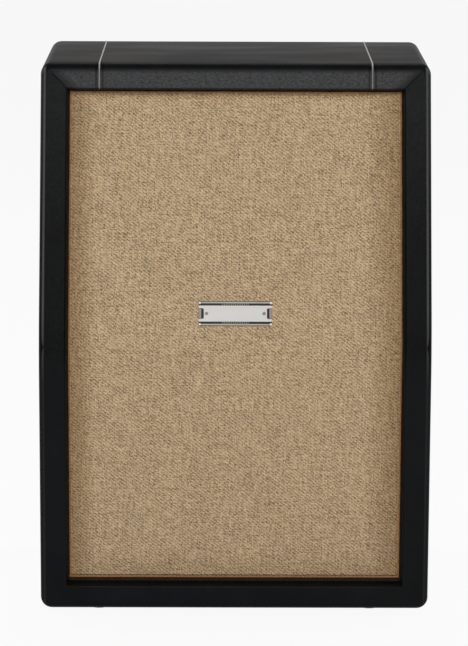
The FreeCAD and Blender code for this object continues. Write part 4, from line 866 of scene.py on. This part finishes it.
# Stage: a plain floor and a room that both show pale to the camera, and give little light. A soft light high in
# front and a larger one lower behind it light the front, with one soft light at each side and one behind.
floor_mesh = bmesh.new()
bmesh.ops.create_grid(floor_mesh, x_segments=1, y_segments=1, size=20)
floor_data = bpy.data.meshes.new("floor")
floor_mesh.to_mesh(floor_data)
floor_mesh.free()
floor = bpy.data.objects.new("floor", floor_data)
bpy.context.scene.collection.objects.link(floor)
shown_to = ("Is Camera Ray", "Is Glossy Ray", "Is Transmission Ray")
pale_share = 0.93
pale_floor = Finish("pale_floor", (0.5, 0.5, 0.5), 0.9, Specular_IOR_Level=0.0)
floor_data.materials.append(pale_floor.material)
seen = 0.0
for kind in shown_to:
    seen = pale_floor.math("MAXIMUM", pale_floor.node("LightPath", {}, kind), seen)
glow = pale_floor.node("Emission", {"Color": (1, 1, 1), "Strength": 1.0})
shown = pale_floor.times(seen, pale_share)
lit = pale_floor.node("MixShader", {0: shown, 1: pale_floor.shader.outputs[0], 2: glow})
pale_floor.give(pale_floor.tree.nodes["Material Output"], {"Surface": lit})

pale_to, dim_from, pale_tone, dim_tone = 0.12, 0.45, 0.955, 0.1
room_light = 0.15
world = bpy.data.worlds.new("pale_room")
world.use_nodes = True
room = world.node_tree
way = room.nodes.new("ShaderNodeTexCoord")
split = room.nodes.new("ShaderNodeSeparateXYZ")
dimmed = room.nodes.new("ShaderNodeMapRange")
for number, value in enumerate((pale_to, dim_from, pale_tone, dim_tone), 1):
    dimmed.inputs[number].default_value = value
room.links.new(way.outputs["Generated"], split.inputs[0])
room.links.new(split.outputs["Z"], dimmed.inputs[0])
room.links.new(dimmed.outputs[0], room.nodes["Background"].inputs["Color"])
path_kind = room.nodes.new("ShaderNodeLightPath")
strength = None
for kind in shown_to:
    larger = room.nodes.new("ShaderNodeMath")
    larger.operation = "MAXIMUM"
    larger.inputs[1].default_value = room_light
    room.links.new(path_kind.outputs[kind], larger.inputs[0])
    if strength is not None:
        room.links.new(strength, larger.inputs[1])
    strength = larger.outputs[0]
room.links.new(strength, room.nodes["Background"].inputs["Strength"])
bpy.context.scene.world = world


def soft_light(name, place, aim, wide, tall, power):
    """Hangs a rectangle of light and turns it to its aim."""
    lamp = bpy.data.lights.new(name, "AREA")
    lamp.shape = "RECTANGLE"
    lamp.size = wide
    lamp.size_y = tall
    lamp.energy = power
    holder = bpy.data.objects.new(name, lamp)
    holder.location = place
    holder.rotation_mode = "QUATERNION"
    holder.rotation_quaternion = (Vector(aim) - Vector(place)).to_track_quat("-Z", "Y")
    bpy.context.scene.collection.objects.link(holder)


soft_light("key_light", (0, -2.7, 2.1), (0, 0, 0.45), wide=2.4, tall=0.8, power=67)
soft_light("fill_light", (0, -4.3, 0.9), (0, 0, 0.4), wide=2.6, tall=1.6, power=61)
soft_light("left_light", (-2.4, 0.8, 1.6), (0, 0.1, 0.4), wide=0.6, tall=1.3, power=45)
soft_light("right_light", (2.4, 0.8, 1.6), (0, 0.1, 0.4), wide=0.6, tall=1.3, power=45)
soft_light("back_light", (0, 2.0, 2.8), (0, 0, 0.4), wide=2.0, tall=1.0, power=30)

eye = Vector((-0.0202, -3.7437, 1.2146))
tilt, swing, roll = math.radians(10.747), math.radians(0.286), math.radians(0.226)
ahead = Vector((math.sin(swing), math.cos(swing), 0))
right = Vector((math.cos(swing), -math.sin(swing), 0))
look = ahead * math.cos(tilt) - Vector((0, 0, math.sin(tilt)))
upward = ahead * math.sin(tilt) + Vector((0, 0, math.cos(tilt)))
side_axis = right * math.cos(roll) + upward * math.sin(roll)
top_axis = upward * math.cos(roll) - right * math.sin(roll)
lens = bpy.data.cameras.new("camera")
lens.lens = 156.35
lens.sensor_width = 36
lens.shift_y = -0.15
camera = bpy.data.objects.new("camera", lens)
camera.matrix_world = Matrix.Translation(eye) @ Matrix((side_axis, top_axis, -look)).transposed().to_4x4()
bpy.context.scene.collection.objects.link(camera)
bpy.context.scene.camera = camera
bpy.context.scene.view_settings.view_transform = "Standard"
